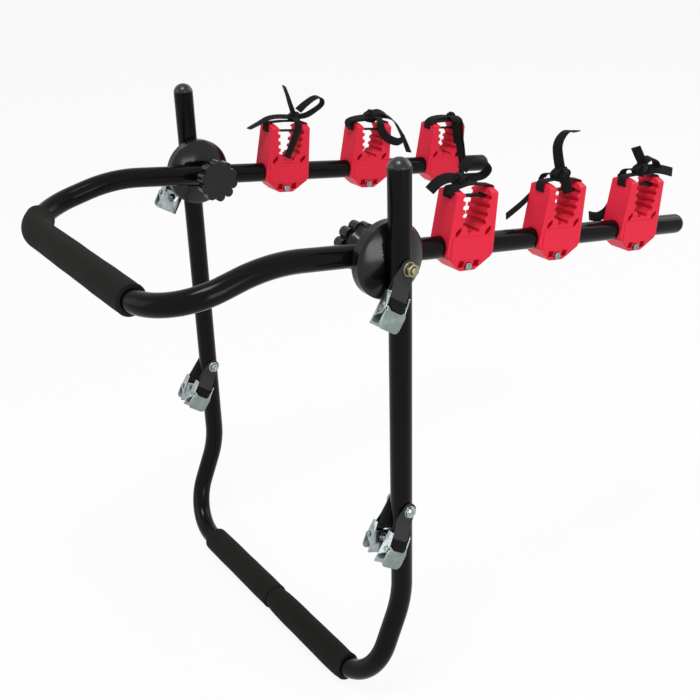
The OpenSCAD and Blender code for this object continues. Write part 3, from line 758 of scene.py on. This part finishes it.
@dataclass
class Dressing:
    """Copy of a solid with merged points, whole flat faces and rounded edges."""

    slot: Slot
    # Width of the rounded edges, 0 where the finish alone rounds them, and the steps across them
    edge: float = 0.0
    segments: int = 2
    # Whether only the long edges between two large faces are rounded
    outline: bool = False
    # Name of an equal solid whose mesh is moved into place instead
    like: str = ""
    # Angle in degrees above which an edge stays sharp
    sharp: float = 35.0
    # Finish of the piece, when it is not its slot's own
    finish: Finish | None = None
    # Distance at which points merge, angle below which faces are one, and least angle, length and face area
    # of a rounded edge, in metres and degrees
    merged: float = 2e-6
    flat: float = 0.5
    corner: float = 30.0
    long_edge: float = 0.023
    large_face: float = 150e-6

    def build(self, *nodes: str) -> None:
        """Dresses solids by name."""
        for node in nodes:
            self._dress(node)

    def _dress(self, node: str) -> None:
        """Makes the piece that stands for a solid.

        Args:
            node: Name of the solid.
        """
        bm = bmesh.new()
        bm.from_mesh(NODES[self.like or node].data)
        bmesh.ops.remove_doubles(bm, verts=bm.verts, dist=self.merged)
        bmesh.ops.dissolve_limit(
            bm, angle_limit=math.radians(self.flat), use_dissolve_boundaries=False, verts=bm.verts,
            edges=bm.edges,
        )
        if self.edge:
            bmesh.ops.bevel(
                bm, geom=[edge for edge in bm.edges if self._rounds(edge)], offset=self.edge * MM,
                offset_type="OFFSET", affect="EDGES", segments=self.segments, profile=0.5, material=-1,
                clamp_overlap=False,
            )
        bmesh.ops.triangulate(bm, faces=[face for face in bm.faces if len(face.verts) > 4])
        if self.like:
            move = Vector(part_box(node)[0]) - Vector(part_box(self.like)[0])
            bmesh.ops.translate(bm, vec=move, verts=bm.verts)
        finish_piece(
            bm, f"{node}_piece", NODES[node]["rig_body"], self.slot, (node,), sharp=self.sharp,
            turn_out=False, scale=1.0, finish=self.finish,
        )

    def _rounds(self, edge: bmesh.types.BMEdge) -> bool:
        """Tells whether an edge is rounded.

        Args:
            edge: Edge of the merged solid.

        Returns:
            True for a corner and, where only the outline is rounded, a long one between large faces.
        """
        if len(edge.link_faces) != 2 or edge.calc_face_angle(0.0) <= math.radians(self.corner):
            return False
        if not self.outline:
            return True
        smallest = min(face.calc_area() for face in edge.link_faces)
        return edge.calc_length() > self.long_edge and smallest > self.large_face


# The rack's sub-assemblies


@dataclass
class Tube:
    """Round painted tube along a route."""

    name: str
    body: str
    node: str
    segments: int = 48

    def build(self, route: list[Vector]) -> None:
        """Builds the tube.

        Args:
            route: Points of the centre line.
        """
        bm = bmesh.new()
        sized = Matrix.Diagonal((RACK.tube_r, RACK.tube_r, 1.0, 1.0))
        Ribbon.round(self.segments).sweep(bm, [at @ sized for at in frames_along(route, LENGTHWAYS)])
        finish_piece(bm, self.name, self.body, Slot.TUBE, (self.node,))


@dataclass
class FoamSleeve:
    """Foam sleeve on a tube, with a bore, rounded ends and a slightly uneven outside."""

    node: str
    body: str
    end_round: float
    # How much thinner the sleeve is at its two ends, and how fast that fades along it
    pinch: tuple[float, float] = (0.3, 0.3)
    pinch_fade: float = 14.0
    # Slow waves of the outside, as height, length of a radian and start, and how far it is sunk for them
    waves: tuple[Triple, ...] = ((0.12, 17.0, 0.0), (0.08, 7.3, 1.0))
    sunk: float = 0.2
    end_steps: int = 4
    segments: int = 40
    sharp: float = 50.0

    def build(self, route: list[Vector]) -> None:
        """Builds the sleeve.

        Args:
            route: Points of the centre line.
        """
        frames = frames_along(route, LENGTHWAYS)
        rings = [(frames[0], RACK.foam_in)]
        rings += self._end(frames[0], 1, self.pinch[0])
        rings += self._outside(route, frames)
        rings += reversed(self._end(frames[-1], -1, self.pinch[1]))
        rings += [(at, RACK.foam_in) for at in frames[:0:-1]]
        bm = bmesh.new()
        sections = [at @ Matrix.Diagonal((r, r, 1.0, 1.0)) for at, r in rings]
        Ribbon.round(self.segments).sweep(bm, sections, closed=True)
        piece = finish_piece(
            bm, f"{self.node}_sleeve", self.body, Slot.FOAM, (self.node,), sharp=self.sharp
        )

    def _end(self, at: Matrix, way: int, thin: float) -> list[tuple[Matrix, float]]:
        """Rounds one end.

        Args:
            at: Frame of the end.
            way: 1 where the sleeve goes on along the frame, -1 where it comes from there.
            thin: How much thinner the sleeve is there.

        Returns:
            Frame and radius of each ring, from the face inwards.
        """
        rings = []
        for i in range(self.end_steps + 1):
            a = math.radians(90) * i / self.end_steps
            push = Matrix.Translation((0.0, 0.0, way * self.end_round * (1 - math.cos(a))))
            rings.append((at @ push, RACK.foam_out - thin - self.end_round * (1 - math.sin(a))))
        return rings

    def _outside(self, route: list[Vector], frames: list[Matrix]) -> list[tuple[Matrix, float]]:
        """Swells and pinches the outside between the rounded ends.

        Args:
            route: Points of the centre line.
            frames: Frame of each point.

        Returns:
            Frame and radius of each ring.
        """
        length = sum((b - a).length for a, b in zip(route, route[1:]))
        rings, along = [], 0.0
        for k in range(1, len(route) - 1):
            along += (route[k] - route[k - 1]).length
            if self.end_round < along < length - self.end_round:
                swell = sum(high * math.sin(along / long + start) for high, long, start in self.waves)
                thin = self.pinch[0] * math.exp(-along / self.pinch_fade)
                thin += self.pinch[1] * math.exp((along - length) / self.pinch_fade)
                rings.append((frames[k], RACK.foam_out - self.sunk + swell - thin))
        return rings


@dataclass
class MainHoop:
    """Bent tube that stands on the car: two legs, kick bends and the lower crossbar with its foam."""

    leg_end: float = 651.5
    kick_z: float = 120.0
    kick_r: float = 130.0
    corner_r: float = 65.0
    # Sleeves: rounded ends, the left one's start, where the two meet and half their gap, the degrees of the
    # corner that the right one wraps, and the pinch at the ends of each
    foam_round: float = 1.6
    left_from: float = -161.0
    joint: float = 10.85
    joint_half: float = 0.15
    wrap_right: float = 14.0
    left_pinch: tuple[float, float] = (0.6, 0.2)
    right_pinch: tuple[float, float] = (2.5, 0.4)

    def build(self) -> None:
        """Builds the tube and its two foam sleeves."""
        right = [
            Vector((RACK.leg_x, RACK.leg_y, self.leg_end)),
            Vector((RACK.leg_x, RACK.leg_y, self.kick_z)),
            Vector((RACK.leg_x, 0.0, 0.0)),
        ]
        Tube("main_hoop_tube", "frame", "main_hoop").build(hoop_route(right, self.kick_r, self.corner_r))
        half = RACK.leg_x - self.corner_r
        kick = Matrix.Rotation(math.radians(90) - math.atan2(RACK.leg_y, self.kick_z), 4, "X")
        left = [Vector((x, 0.0, 0.0)) for x in spaced(self.left_from, self.joint - self.joint_half)]
        right = [Vector((x, 0.0, 0.0)) for x in spaced(self.joint + self.joint_half, half)]
        right += corner_wrap(half, self.corner_r, self.wrap_right, Side.RIGHT)
        for node, route, pinch in (
            ("lower_foam_left", left, self.left_pinch), ("lower_foam_right", right, self.right_pinch),
        ):
            FoamSleeve(node, "frame", self.foam_round, pinch).build([kick @ p for p in route])


@dataclass
class ArmsHoop:
    """Bent tube that carries the bikes: two arms, rear bends and the rear crossbar with its foam."""

    arm_end: float = 494.5
    rear_straight: float = 131.0
    rear_len: float = 127.0
    rear_turn: float = 21.0
    rear_r: float = 200.0
    corner_r: float = 70.0
    # Sleeve: rounded ends, and the degrees of each corner that it wraps
    foam_round: float = 1.8
    wrap_left: float = 43.0
    wrap_right: float = 5.0

    def build(self) -> None:
        """Builds the tube and the rear foam sleeve."""
        turn = math.radians(self.rear_turn)
        rear_u = -self.rear_straight - self.rear_len * math.cos(turn)
        rear_v = -self.rear_len * math.sin(turn)
        right = [
            Vector((RACK.arm_x, self.arm_end, 0.0)),
            Vector((RACK.arm_x, -self.rear_straight, 0.0)),
            Vector((RACK.arm_x, rear_u, rear_v)),
        ]
        lie = RACK.arms_plane()
        route = [lie @ p for p in hoop_route(right, self.rear_r, self.corner_r)]
        Tube("arms_hoop_tube", "arms", "arms_hoop").build(route)
        rear = lie @ Matrix.Translation((0.0, rear_u, rear_v)) @ Matrix.Rotation(turn, 4, "X")
        half = RACK.arm_x - self.corner_r
        route = corner_wrap(half, self.corner_r, self.wrap_left, Side.LEFT)[::-1]
        route += [Vector((x, 0.0, 0.0)) for x in spaced(-half, half)]
        route += corner_wrap(half, self.corner_r, self.wrap_right, Side.RIGHT)
        FoamSleeve("upper_foam", "arms", self.foam_round).build([rear @ p for p in route])


@dataclass
class Hubs:
    """Clamp hubs with their caps, nuts, studs and knobs."""

    nut_edge: float = 0.5
    washer_edge: float = 0.25

    def build(self) -> None:
        """Dresses the hub halves, knobs, studs and their fasteners."""
        for side in Side:
            Dressing(Slot.HUB).build(f"hub_outer_{side.word}", f"hub_inner_{side.word}", f"knob_{side.word}")
            Dressing(Slot.YELLOW, self.nut_edge).build(f"stud_{side.word}")
        Dressing(Slot.YELLOW, self.nut_edge).build("hub_nuts")
        Dressing(Slot.YELLOW, self.washer_edge).build("hub_washers")
        Dressing(Slot.CAP).build("leg_caps", "arm_caps")


@dataclass
class Cradles:
    """Six bike cradles with their clamp bolts and nuts."""

    outline_edge: float = 1.2
    outline_steps: int = 4
    crease: float = 8.0
    bolt_edge: float = 0.4
    pattern: str = "cradle_right_1"

    def build(self) -> None:
        """Dresses the cradles and their fasteners."""
        moulding = Dressing(
            Slot.CRADLE, self.outline_edge, self.outline_steps, outline=True, like=self.pattern,
            sharp=self.crease,
        )
        for side in Side:
            moulding.build(*(f"cradle_{side.word}_{i}" for i in (1, 2, 3)))
        Dressing(Slot.ZINC, self.bolt_edge).build("cradle_bolts", "cradle_nuts")


@dataclass(frozen=True)
class Run:
    """One run of a tie strap."""

    # Points along and above the arm
    points: tuple[tuple[float, float], ...]
    # Roll of the strap at its two ends, in degrees
    roll: tuple[float, float] = (0.0, 0.0)
    # Distance from the middle of the cradle, across the arm
    shift: float = 0.0

    def frames(self) -> list[Matrix]:
        """Frames along the run, the strap's width across the arm before it is rolled.

        Returns:
            One frame for each point of the run.
        """
        route = smooth_route([Vector((self.shift, u, v)) for u, v in self.points])
        last = len(route) - 1
        start, end = (math.radians(angle) for angle in self.roll)
        return [
            at @ Matrix.Rotation(start + (end - start) * i / last, 4, "Z")
            for i, at in enumerate(frames_along(route, SIDEWAYS))
        ]


@dataclass
class TieStraps:
    """Narrow straps knotted over the cradles, with their loose ends."""

    first: float = 121.0
    pitch: float = 142.0
    cradle_top: float = 67.0
    width: float = 12.0
    thick: float = 1.4
    sharp: float = 60.0
    # Loop through the cradle's slot: its height, half length, shoulders and flat top above the cradle
    slot_up: float = 57.0
    loop_half: float = 32.4
    shoulder_up: float = 1.0
    crest_half: float = 8.0
    crest_up: float = 3.0
    loop_gap: float = 0.5
    loop_radii: tuple[float, ...] = (1.5, 4.0, 20.0)
    loop_step: float = 1.5
    # Lead of a hanging run from the middle over the cradle's edge, as places across and above the top
    lead: tuple[tuple[float, float], ...] = ((0.0, 8.0), (8.0, 8.0), (15.9, 5.0), (18.9, 0.0))
    # Knot: height above the cradle's top, shape, the lean, spin and size of its turns, and its flatness and
    # the width of its band as shares of the size
    knot_up: float = 8.5
    knot_shape: Triple = (0.9, 1.05, 0.85)
    knot_turns: tuple[Triple, ...] = ((15.0, 0.0, 1.0), (70.0, 35.0, 0.94), (-50.0, 100.0, 0.9))
    knot_steps: int = 24
    knot_flat: float = 0.72
    knot_width: float = 1.15

    def build(self) -> None:
        """Builds the six straps."""
        self._strap(Side.LEFT, 1, (13.0, 8.5), [
            Run(((13, 75), (9, 85), (4, 95), (0, 104), (-7, 117)), (12, -10)),
            Run(
                ((13, 76), (30, 77), (45, 84), (57, 93), (55, 101), (45, 102), (31, 94), (19, 84)), (30, -30)
            ),
            Run(((13, 75), (-11, 76), (-28, 74), (-43, 67), (-58, 60)), (-25, 3)),
        ], [(Run(((9, 64), (6, 54), (2, 42), (-6, 23))), Side.RIGHT)])
        self._strap(Side.LEFT, 2, (3.0, 11.0), [
            Run(((3, 76), (11, 81), (21, 81), (31, 77)), (40, 20)),
            Run(((3, 76), (30, 75), (46, 68), (59, 54), (70, 39), (81, 21)), (35, -10)),
            Run(((-31, 58), (-38, 62), (-39, 69), (-29, 73), (-12, 75), (3, 76)), (0, 25), 3.0),
        ], [(Run(((8, 64), (14, 54), (27, 45), (44, 41), (55, 48))), Side.RIGHT)])
        self._strap(Side.LEFT, 3, (13.0, 6.0), [
            Run(((-33, 64), (-29, 68), (-10, 70), (10, 70), (29, 68), (33, 64)), (25, 25), 7.0),
            Run(((-32, 66), (-25, 71), (-8, 74), (13, 74)), (20, 10), 2.0),
        ], [
            (Run(((8, 66), (14, 46), (22, 25), (29, 4), (32, -13))), Side.RIGHT),
            (Run(((16, 66), (20, 48), (26, 30), (31, 12), (33, -2)), shift=1.5), Side.RIGHT),
        ])
        self._strap(Side.RIGHT, 1, (-17.0, 8.5), [
            Run(((-17, 76), (-32, 78), (-46, 74), (-57, 65)), (-60, -45)),
            Run(((-17, 76), (1, 77), (17, 79), (24, 87), (13, 97), (-5, 96), (-14, 86)), (60, -50)),
            Run(((-34, 62), (-29, 68), (-20, 71), (-8, 73), (6, 72)), (25, 15), 6.0),
        ], [])
        self._strap(Side.RIGHT, 2, (-1.0, 11.0), [
            Run(((-1, 78), (-10, 98), (-13, 110), (-9, 120), (0, 126), (15, 125)), (50, -20)),
            Run(((-1, 76), (5, 63), (10, 54)), (-65, -60), 7.0),
        ], [(Run(((-10, 66), (-20, 52), (-38, 37), (-60, 23))), Side.LEFT)])
        self._strap(Side.RIGHT, 3, (0.0, 10.0), [
            Run(((0, 77), (1, 84), (-8, 94), (-17, 104)), (45, 40)),
            Run(((0, 77), (4, 86), (15, 90), (26, 85), (31, 77)), (45, -20)),
            Run(((0, 76), (34, 75), (63, 70)), (60, 75)),
        ], [(Run(((-10, 64), (-15, 45), (-24, 22), (-40, 13), (-58, 15))), Side.LEFT)])

    def _strap(
        self, side: Side, place: int, knot: tuple[float, float], bends: list[Run],
        hangs: list[tuple[Run, Side]],
    ) -> None:
        """Builds one strap with its loop, knot and ends.

        Args:
            side: Side of the rack.
            place: Number of the cradle from the hub.
            knot: Place along the arm and size of the knot.
            bends: Runs that bend in the plane along the arm.
            hangs: Runs that hang flat beside the cradle, each with the face it hangs on.
        """
        ribbon = Ribbon.flat(self.width, self.thick)
        bm = bmesh.new()
        ribbon.sweep(bm, self._loop(), closed=True)
        for run in bends:
            ribbon.sweep(bm, run.frames())
        for run, face in hangs:
            self._hang(bm, ribbon, run, face)
        self._knot(bm, *knot)
        spot = (side.value * RACK.arm_x, self.first + (place - 1) * self.pitch, 0.0)
        lie = RACK.arms_plane() @ Matrix.Translation(spot)
        bmesh.ops.transform(bm, matrix=lie, verts=bm.verts)
        name = f"{side.word}_{place}"
        finish_piece(bm, f"tie_strap_{name}", "arms", Slot.TIE, (f"tie_{name}",), sharp=self.sharp)

    def _loop(self) -> list[Matrix]:
        """Frames of the loop through the cradle's slot and over its top.

        Returns:
            One frame for each point of the loop.
        """
        half = [
            (self.loop_half, self.slot_up), (self.loop_half, self.cradle_top + self.shoulder_up),
            (self.crest_half, self.cradle_top + self.crest_up),
        ]
        corners = [(0.0, self.slot_up), *half, *((-u, v) for u, v in reversed(half))]
        corners.append((-self.loop_gap, self.slot_up))
        radii = [*self.loop_radii, *reversed(self.loop_radii)]
        route = rounded_route([Vector((0.0, u, v)) for u, v in corners], radii, step=self.loop_step)
        return frames_along(route, SIDEWAYS, closed=True)

    def _hang(self, bm: bmesh.types.BMesh, ribbon: Ribbon, run: Run, face: Side) -> None:
        """Leads a run over the cradle's top and lets it hang flat on one face.

        Args:
            bm: Mesh to draw in.
            ribbon: Section of the strap.
            run: Points along and above the arm.
            face: Face of the cradle.
        """
        start = run.points[0][0]
        places = [(x, start, self.cradle_top + up) for x, up in self.lead]
        places += [(self.lead[-1][0], u, v) for u, v in run.points]
        points = [Vector((face.value * (x + run.shift), u, v)) for x, u, v in places]
        ribbon.sweep(bm, frames_along(smooth_route(points), LENGTHWAYS))

    def _knot(self, bm: bmesh.types.BMesh, along: float, size: float) -> None:
        """Winds three short turns of strap over each other as a knot.

        Args:
            bm: Mesh to draw in.
            along: Place of the knot along the arm.
            size: Radius of the knot.
        """
        band = Ribbon.flat(min(self.width, self.knot_width * size), self.thick)
        centre = Matrix.Translation((0.0, along, self.cradle_top + self.knot_up))
        centre = centre @ Matrix.Diagonal((*self.knot_shape, 1.0))
        angles = [2 * math.pi * i / self.knot_steps for i in range(self.knot_steps)]
        for lean, spin, share in self.knot_turns:
            turn = centre @ Matrix.Rotation(math.radians(spin), 4, "Z")
            turn = turn @ Matrix.Rotation(math.radians(lean), 4, "X")
            reach = share * size
            loop = [
                turn @ Vector((0.0, reach * math.cos(a), self.knot_flat * reach * math.sin(a)))
                for a in angles
            ]
            band.sweep(bm, frames_along(loop, turn.to_3x3() @ SIDEWAYS, closed=True), closed=True)
        core = bmesh.ops.create_icosphere(bm, subdivisions=2, radius=self.knot_flat * size, matrix=centre)
        bmesh.ops.smooth_vert(bm, verts=core["verts"], factor=0.5)


@dataclass
class StrapTabs:
    """Webbing tabs on the studs and lower bolts, with their cam buckles, pins and levers."""

    lower_z: float = 251.0
    width: float = 25.0
    ply: float = 1.15
    rows: int = 10
    steps: int = 3
    sharp: float = 60.0
    # Rounded top, with the shares of its radius that have a section, and the widening below it
    top_r: float = 9.5
    crown: tuple[float, ...] = (0.6, 0.85, 1.0)
    least_crown: float = 0.02
    shoulder: float = 14.0
    # Inner ply with its heights, the turn round the buckle's bar, and the outer ply with its bulge by height
    near_x: float = 1.0
    near_z: tuple[float, ...] = (0.0, -8.0, -16.0, -23.0)
    bar_x: float = 4.9
    bar_z: float = -33.0
    bar_r: float = 3.6
    bar_turn: tuple[float, float] = (150.0, 390.0)
    bar_steps: int = 14
    far_x: float = 2.2
    far: tuple[tuple[float, float], ...] = ((2.5, -22.0), (0.6, -16.0), (0.0, -10.0), (0.0, 0.0))
    # Flap over the cam, which narrows towards its end
    flap: tuple[tuple[float, float], ...] = (
        (8.2, -33.8), (10.2, -37.2), (12.4, -40.8), (14.3, -43.6), (15.2, -45.8)
    )
    flap_width: float = 24.0
    flap_taper: float = 0.45
    taper_power: int = 3
    buckle_edge: float = 0.35
    bolt_edge: float = 0.3
    # Lean of each tab from upright, in degrees
    leans: dict[tuple[Place, Side], float] = field(default_factory=lambda: {
        (Place.UPPER, Side.RIGHT): 34.0, (Place.UPPER, Side.LEFT): 32.0,
        (Place.OUTER, Side.RIGHT): 34.0, (Place.OUTER, Side.LEFT): 27.0,
        (Place.INNER, Side.RIGHT): 22.0, (Place.INNER, Side.LEFT): 37.0,
    })

    def build(self) -> None:
        """Builds the six tabs and dresses their metal pieces."""
        for place, side in self.leans:
            name = f"{place.value}_{side.word}"
            tab = f"tab_{name}"
            lie = self._lie(place, side)
            self._strip(self.width, self._ply_frames(), lie, f"{tab}_webbing", tab, (tab,))
            # The flap's darker webbing is painted shade
            self._strip(self.flap_width, self._flap_frames(), lie, f"{tab}_flap", tab, finish=SHADED_FOLD_WEBBING)
            Dressing(Slot.ZINC, self.buckle_edge, finish=BRIGHT_ZINC).build(f"buckle_{name}")
            Dressing(Slot.ZINC, self.buckle_edge).build(f"lever_{name}", f"pin_{name}")
        fasteners = Dressing(Slot.ZINC, self.bolt_edge, finish=BRIGHT_ZINC)
        fasteners.build("lower_bolts", "lower_nuts", "lower_washers")

    def _lie(self, place: Place, side: Side) -> Matrix:
        """Frame of a tab: X out of its leg, Z up along the tab, at the bolt.

        Args:
            place: Place of the tab.
            side: Side of the rack.

        Returns:
            The frame.
        """
        face = side.value * (-1 if place is Place.INNER else 1)
        height = RACK.hub_z if place is Place.UPPER else self.lower_z
        spot = Vector((side.value * RACK.leg_x + face * RACK.tube_r, RACK.leg_y, height))
        lean = Matrix.Rotation(math.radians(-self.leans[place, side]), 4, "X")
        return Matrix.Translation(spot) @ lean @ Matrix.Diagonal((face, 1.0, 1.0, 1.0))

    def _share(self, z: float) -> float:
        """Share of the full width that a tab has at a height.

        Args:
            z: Height above the bolt.

        Returns:
            The share.
        """
        narrow = 2 * self.top_r / self.width
        if z > 0:
            return narrow * math.sqrt(max(self.least_crown, 1 - (z / self.top_r) ** 2))
        return narrow + (1 - narrow) * min(1.0, -z / self.shoulder)

    def _ply_frames(self) -> list[Matrix]:
        """Frames of the strap that goes from the bolt round the buckle's bar and back, with its width.

        Returns:
            One frame for each point, scaled by the share of the width.
        """
        crown = [share * self.top_r for share in self.crown]
        start, end = (math.radians(angle) for angle in self.bar_turn)
        angles = [start + (end - start) * i / self.bar_steps for i in range(self.bar_steps + 1)]
        points = [(self.near_x, z) for z in (*reversed(crown), *self.near_z)]
        points += [
            (self.bar_x + self.bar_r * math.cos(a), self.bar_z + self.bar_r * math.sin(a)) for a in angles
        ]
        points += [(self.far_x + out, z) for out, z in self.far]
        points += [(self.far_x, z) for z in crown]
        route = smooth_route([Vector((x, 0.0, z)) for x, z in points], self.steps)
        return [
            at @ Matrix.Diagonal((self._share(at.translation.z), 1.0, 1.0, 1.0))
            for at in frames_along(route, LENGTHWAYS)
        ]

    def _flap_frames(self) -> list[Matrix]:
        """Frames of the flap over the cam, with its width.

        Returns:
            One frame for each point, scaled by the share of the width.
        """
        route = smooth_route([Vector((x, 0.0, z)) for x, z in self.flap], self.steps)
        last = len(route) - 1
        return [
            at @ Matrix.Diagonal((1.0 - self.flap_taper * (i / last) ** self.taper_power, 1.0, 1.0, 1.0))
            for i, at in enumerate(frames_along(route, LENGTHWAYS))
        ]

    def _strip(
        self, width: float, frames: list[Matrix], lie: Matrix, name: str, tab: str,
        replaced: tuple[str, ...] = (), finish: Webbing | None = None,
    ) -> None:
        """Makes one strip of webbing.

        Args:
            width: Full width of the strip.
            frames: Frames along the strip; their scale sizes the width.
            lie: Frame of the tab.
            name: Name of the piece.
            tab: Body that it rides on.
            replaced: Solids that it stands for.
            finish: Finish, when it is not the tabs' own.
        """
        bm = bmesh.new()
        Ribbon.flat(width, self.ply, self.rows).sweep(bm, frames)
        bmesh.ops.transform(bm, matrix=lie, verts=bm.verts)
        finish_piece(bm, name, tab, Slot.TAB, replaced, sharp=self.sharp, finish=finish)


# Floor, light and camera


@dataclass(frozen=True)
class Lamp:
    """Soft square lamp, with its place and side length in metres and its power in watts."""

    name: str
    spot: Spot
    size: float
    watts: float

    def hang(self, aim: Spot) -> None:
        """Hangs the lamp.

        Args:
            aim: Point to look at, in metres.
        """
        data = bpy.data.lights.new(self.name, "AREA")
        data.size = self.size
        data.energy = self.watts
        lamp = bpy.data.objects.new(self.name, data)
        bpy.context.scene.collection.objects.link(lamp)
        lamp.location = self.spot
        lamp.rotation_euler = (Vector(aim) - Vector(self.spot)).to_track_quat("-Z", "Y").to_euler()


@dataclass
class Studio:
    """Pale floor, soft light and the camera at the photograph's viewing angle."""

    # Camera: lens, place, and its turn about the upright, its tilt from straight down and its roll
    sensor: float = 36.0
    focal: float = 54.815
    eye: Spot = (1056.659, -575.765, 945.735)
    heading: float = 55.713
    tilt: float = 64.42
    roll: float = -1.626
    # Floor: height, half width in metres, colour, roughness, and how much of it shows as plain white
    floor_z: float = -19.0
    floor_half: float = 30.0
    floor_grey: float = 0.9
    floor_rough: float = 0.9
    floor_white: float = 0.9
    # Surroundings: the light that they give and the brightness that they show
    world_light: float = 0.42
    world_shown: float = 0.95
    # Lamps, and the point that they look at in metres
    aim: Spot = (0.0, 0.15, 0.35)
    lamps: tuple[Lamp, ...] = (
        Lamp("front_lamp", (2.6, 0.1, 0.72), 1.2, 24.0),
        Lamp("top_lamp", (0.5, -0.5, 3.2), 0.9, 44.0),
        Lamp("fill_lamp", (-1.2, -2.7, 1.5), 2.0, 16.0),
        Lamp("rim_lamp", (0.2, 3.0, 1.8), 1.8, 20.0),
    )

    def build(self) -> None:
        """Builds the camera, the floor, the lamps and the world."""
        self._camera()
        self._floor()
        for lamp in self.lamps:
            lamp.hang(self.aim)
        self._world()
        bpy.context.scene.view_settings.view_transform = "Standard"

    def _camera(self) -> None:
        """Places the camera."""
        data = bpy.data.cameras.new("camera")
        data.sensor_width = self.sensor
        data.lens = self.focal
        camera = bpy.data.objects.new("camera", data)
        bpy.context.scene.collection.objects.link(camera)
        pose = Matrix.Translation(Vector(self.eye) * MM)
        for angle, axis in ((self.heading, "Z"), (self.tilt, "X"), (self.roll, "Z")):
            pose = pose @ Matrix.Rotation(math.radians(angle), 4, axis)
        camera.matrix_world = pose
        bpy.context.scene.camera = camera

    def _floor(self) -> None:
        """Lays a wide pale floor that shows white and keeps the rack's shadow."""
        bm = bmesh.new()
        bmesh.ops.create_grid(bm, x_segments=1, y_segments=1, size=self.floor_half)
        bmesh.ops.translate(bm, vec=(0.0, 0.0, self.floor_z * MM), verts=bm.verts)
        mesh = bpy.data.meshes.new("floor")
        bm.to_mesh(mesh)
        bm.free()
        made = bpy.data.materials.new("pale_floor")
        made.use_nodes = True
        tree = made.node_tree
        shader = tree.nodes["Principled BSDF"]
        grey = (self.floor_grey,) * 3
        feed(tree, shader, {"Base Color": (*grey, 1.0), "Roughness": self.floor_rough})
        glow = add_node(tree, "Emission", {"Strength": 1.0})
        share = add_node(
            tree, "Math", {0: self._seen_by_camera(tree), 1: self.floor_white}, operation="MULTIPLY"
        )
        mix = add_node(tree, "MixShader", {
            "Fac": share.outputs["Value"], 1: shader.outputs["BSDF"], 2: glow.outputs["Emission"],
        })
        feed(tree, tree.nodes["Material Output"], {"Surface": mix.outputs["Shader"]})
        mesh.materials.append(made)
        floor = bpy.data.objects.new("floor", mesh)
        bpy.context.scene.collection.objects.link(floor)

    @staticmethod
    def _seen_by_camera(tree: bpy.types.NodeTree) -> Socket:
        """Makes a socket that is 1 for camera, glossy and transmission rays.

        Args:
            tree: Node tree of the floor or the world.

        Returns:
            The socket.
        """
        path = add_node(tree, "LightPath")
        last = path.outputs["Is Camera Ray"]
        for ray in ("Is Glossy Ray", "Is Transmission Ray"):
            more = add_node(tree, "Math", {0: last, 1: path.outputs[ray]}, operation="MAXIMUM")
            last = more.outputs["Value"]
        return last

    def _world(self) -> None:
        """Surrounds the rack with white that gives less light than it shows."""
        world = bpy.data.worlds.new("studio")
        bpy.context.scene.world = world
        world.use_nodes = True
        tree = world.node_tree
        level = add_node(tree, "MapRange", {
            "Value": self._seen_by_camera(tree), "To Min": self.world_light, "To Max": self.world_shown,
        })
        feed(tree, tree.nodes["Background"], {
            "Color": (1.0, 1.0, 1.0, 1.0), "Strength": level.outputs["Result"],
        })


def main() -> None:
    """Builds every sub-assembly and the studio."""
    logging.basicConfig(level=logging.INFO, format="%(message)s")
    for part in (Studio(), MainHoop(), ArmsHoop(), Hubs(), Cradles(), TieStraps(), StrapTabs()):
        log.info("building %s", type(part).__name__)
        part.build()


if __name__ == "__main__":
    main()
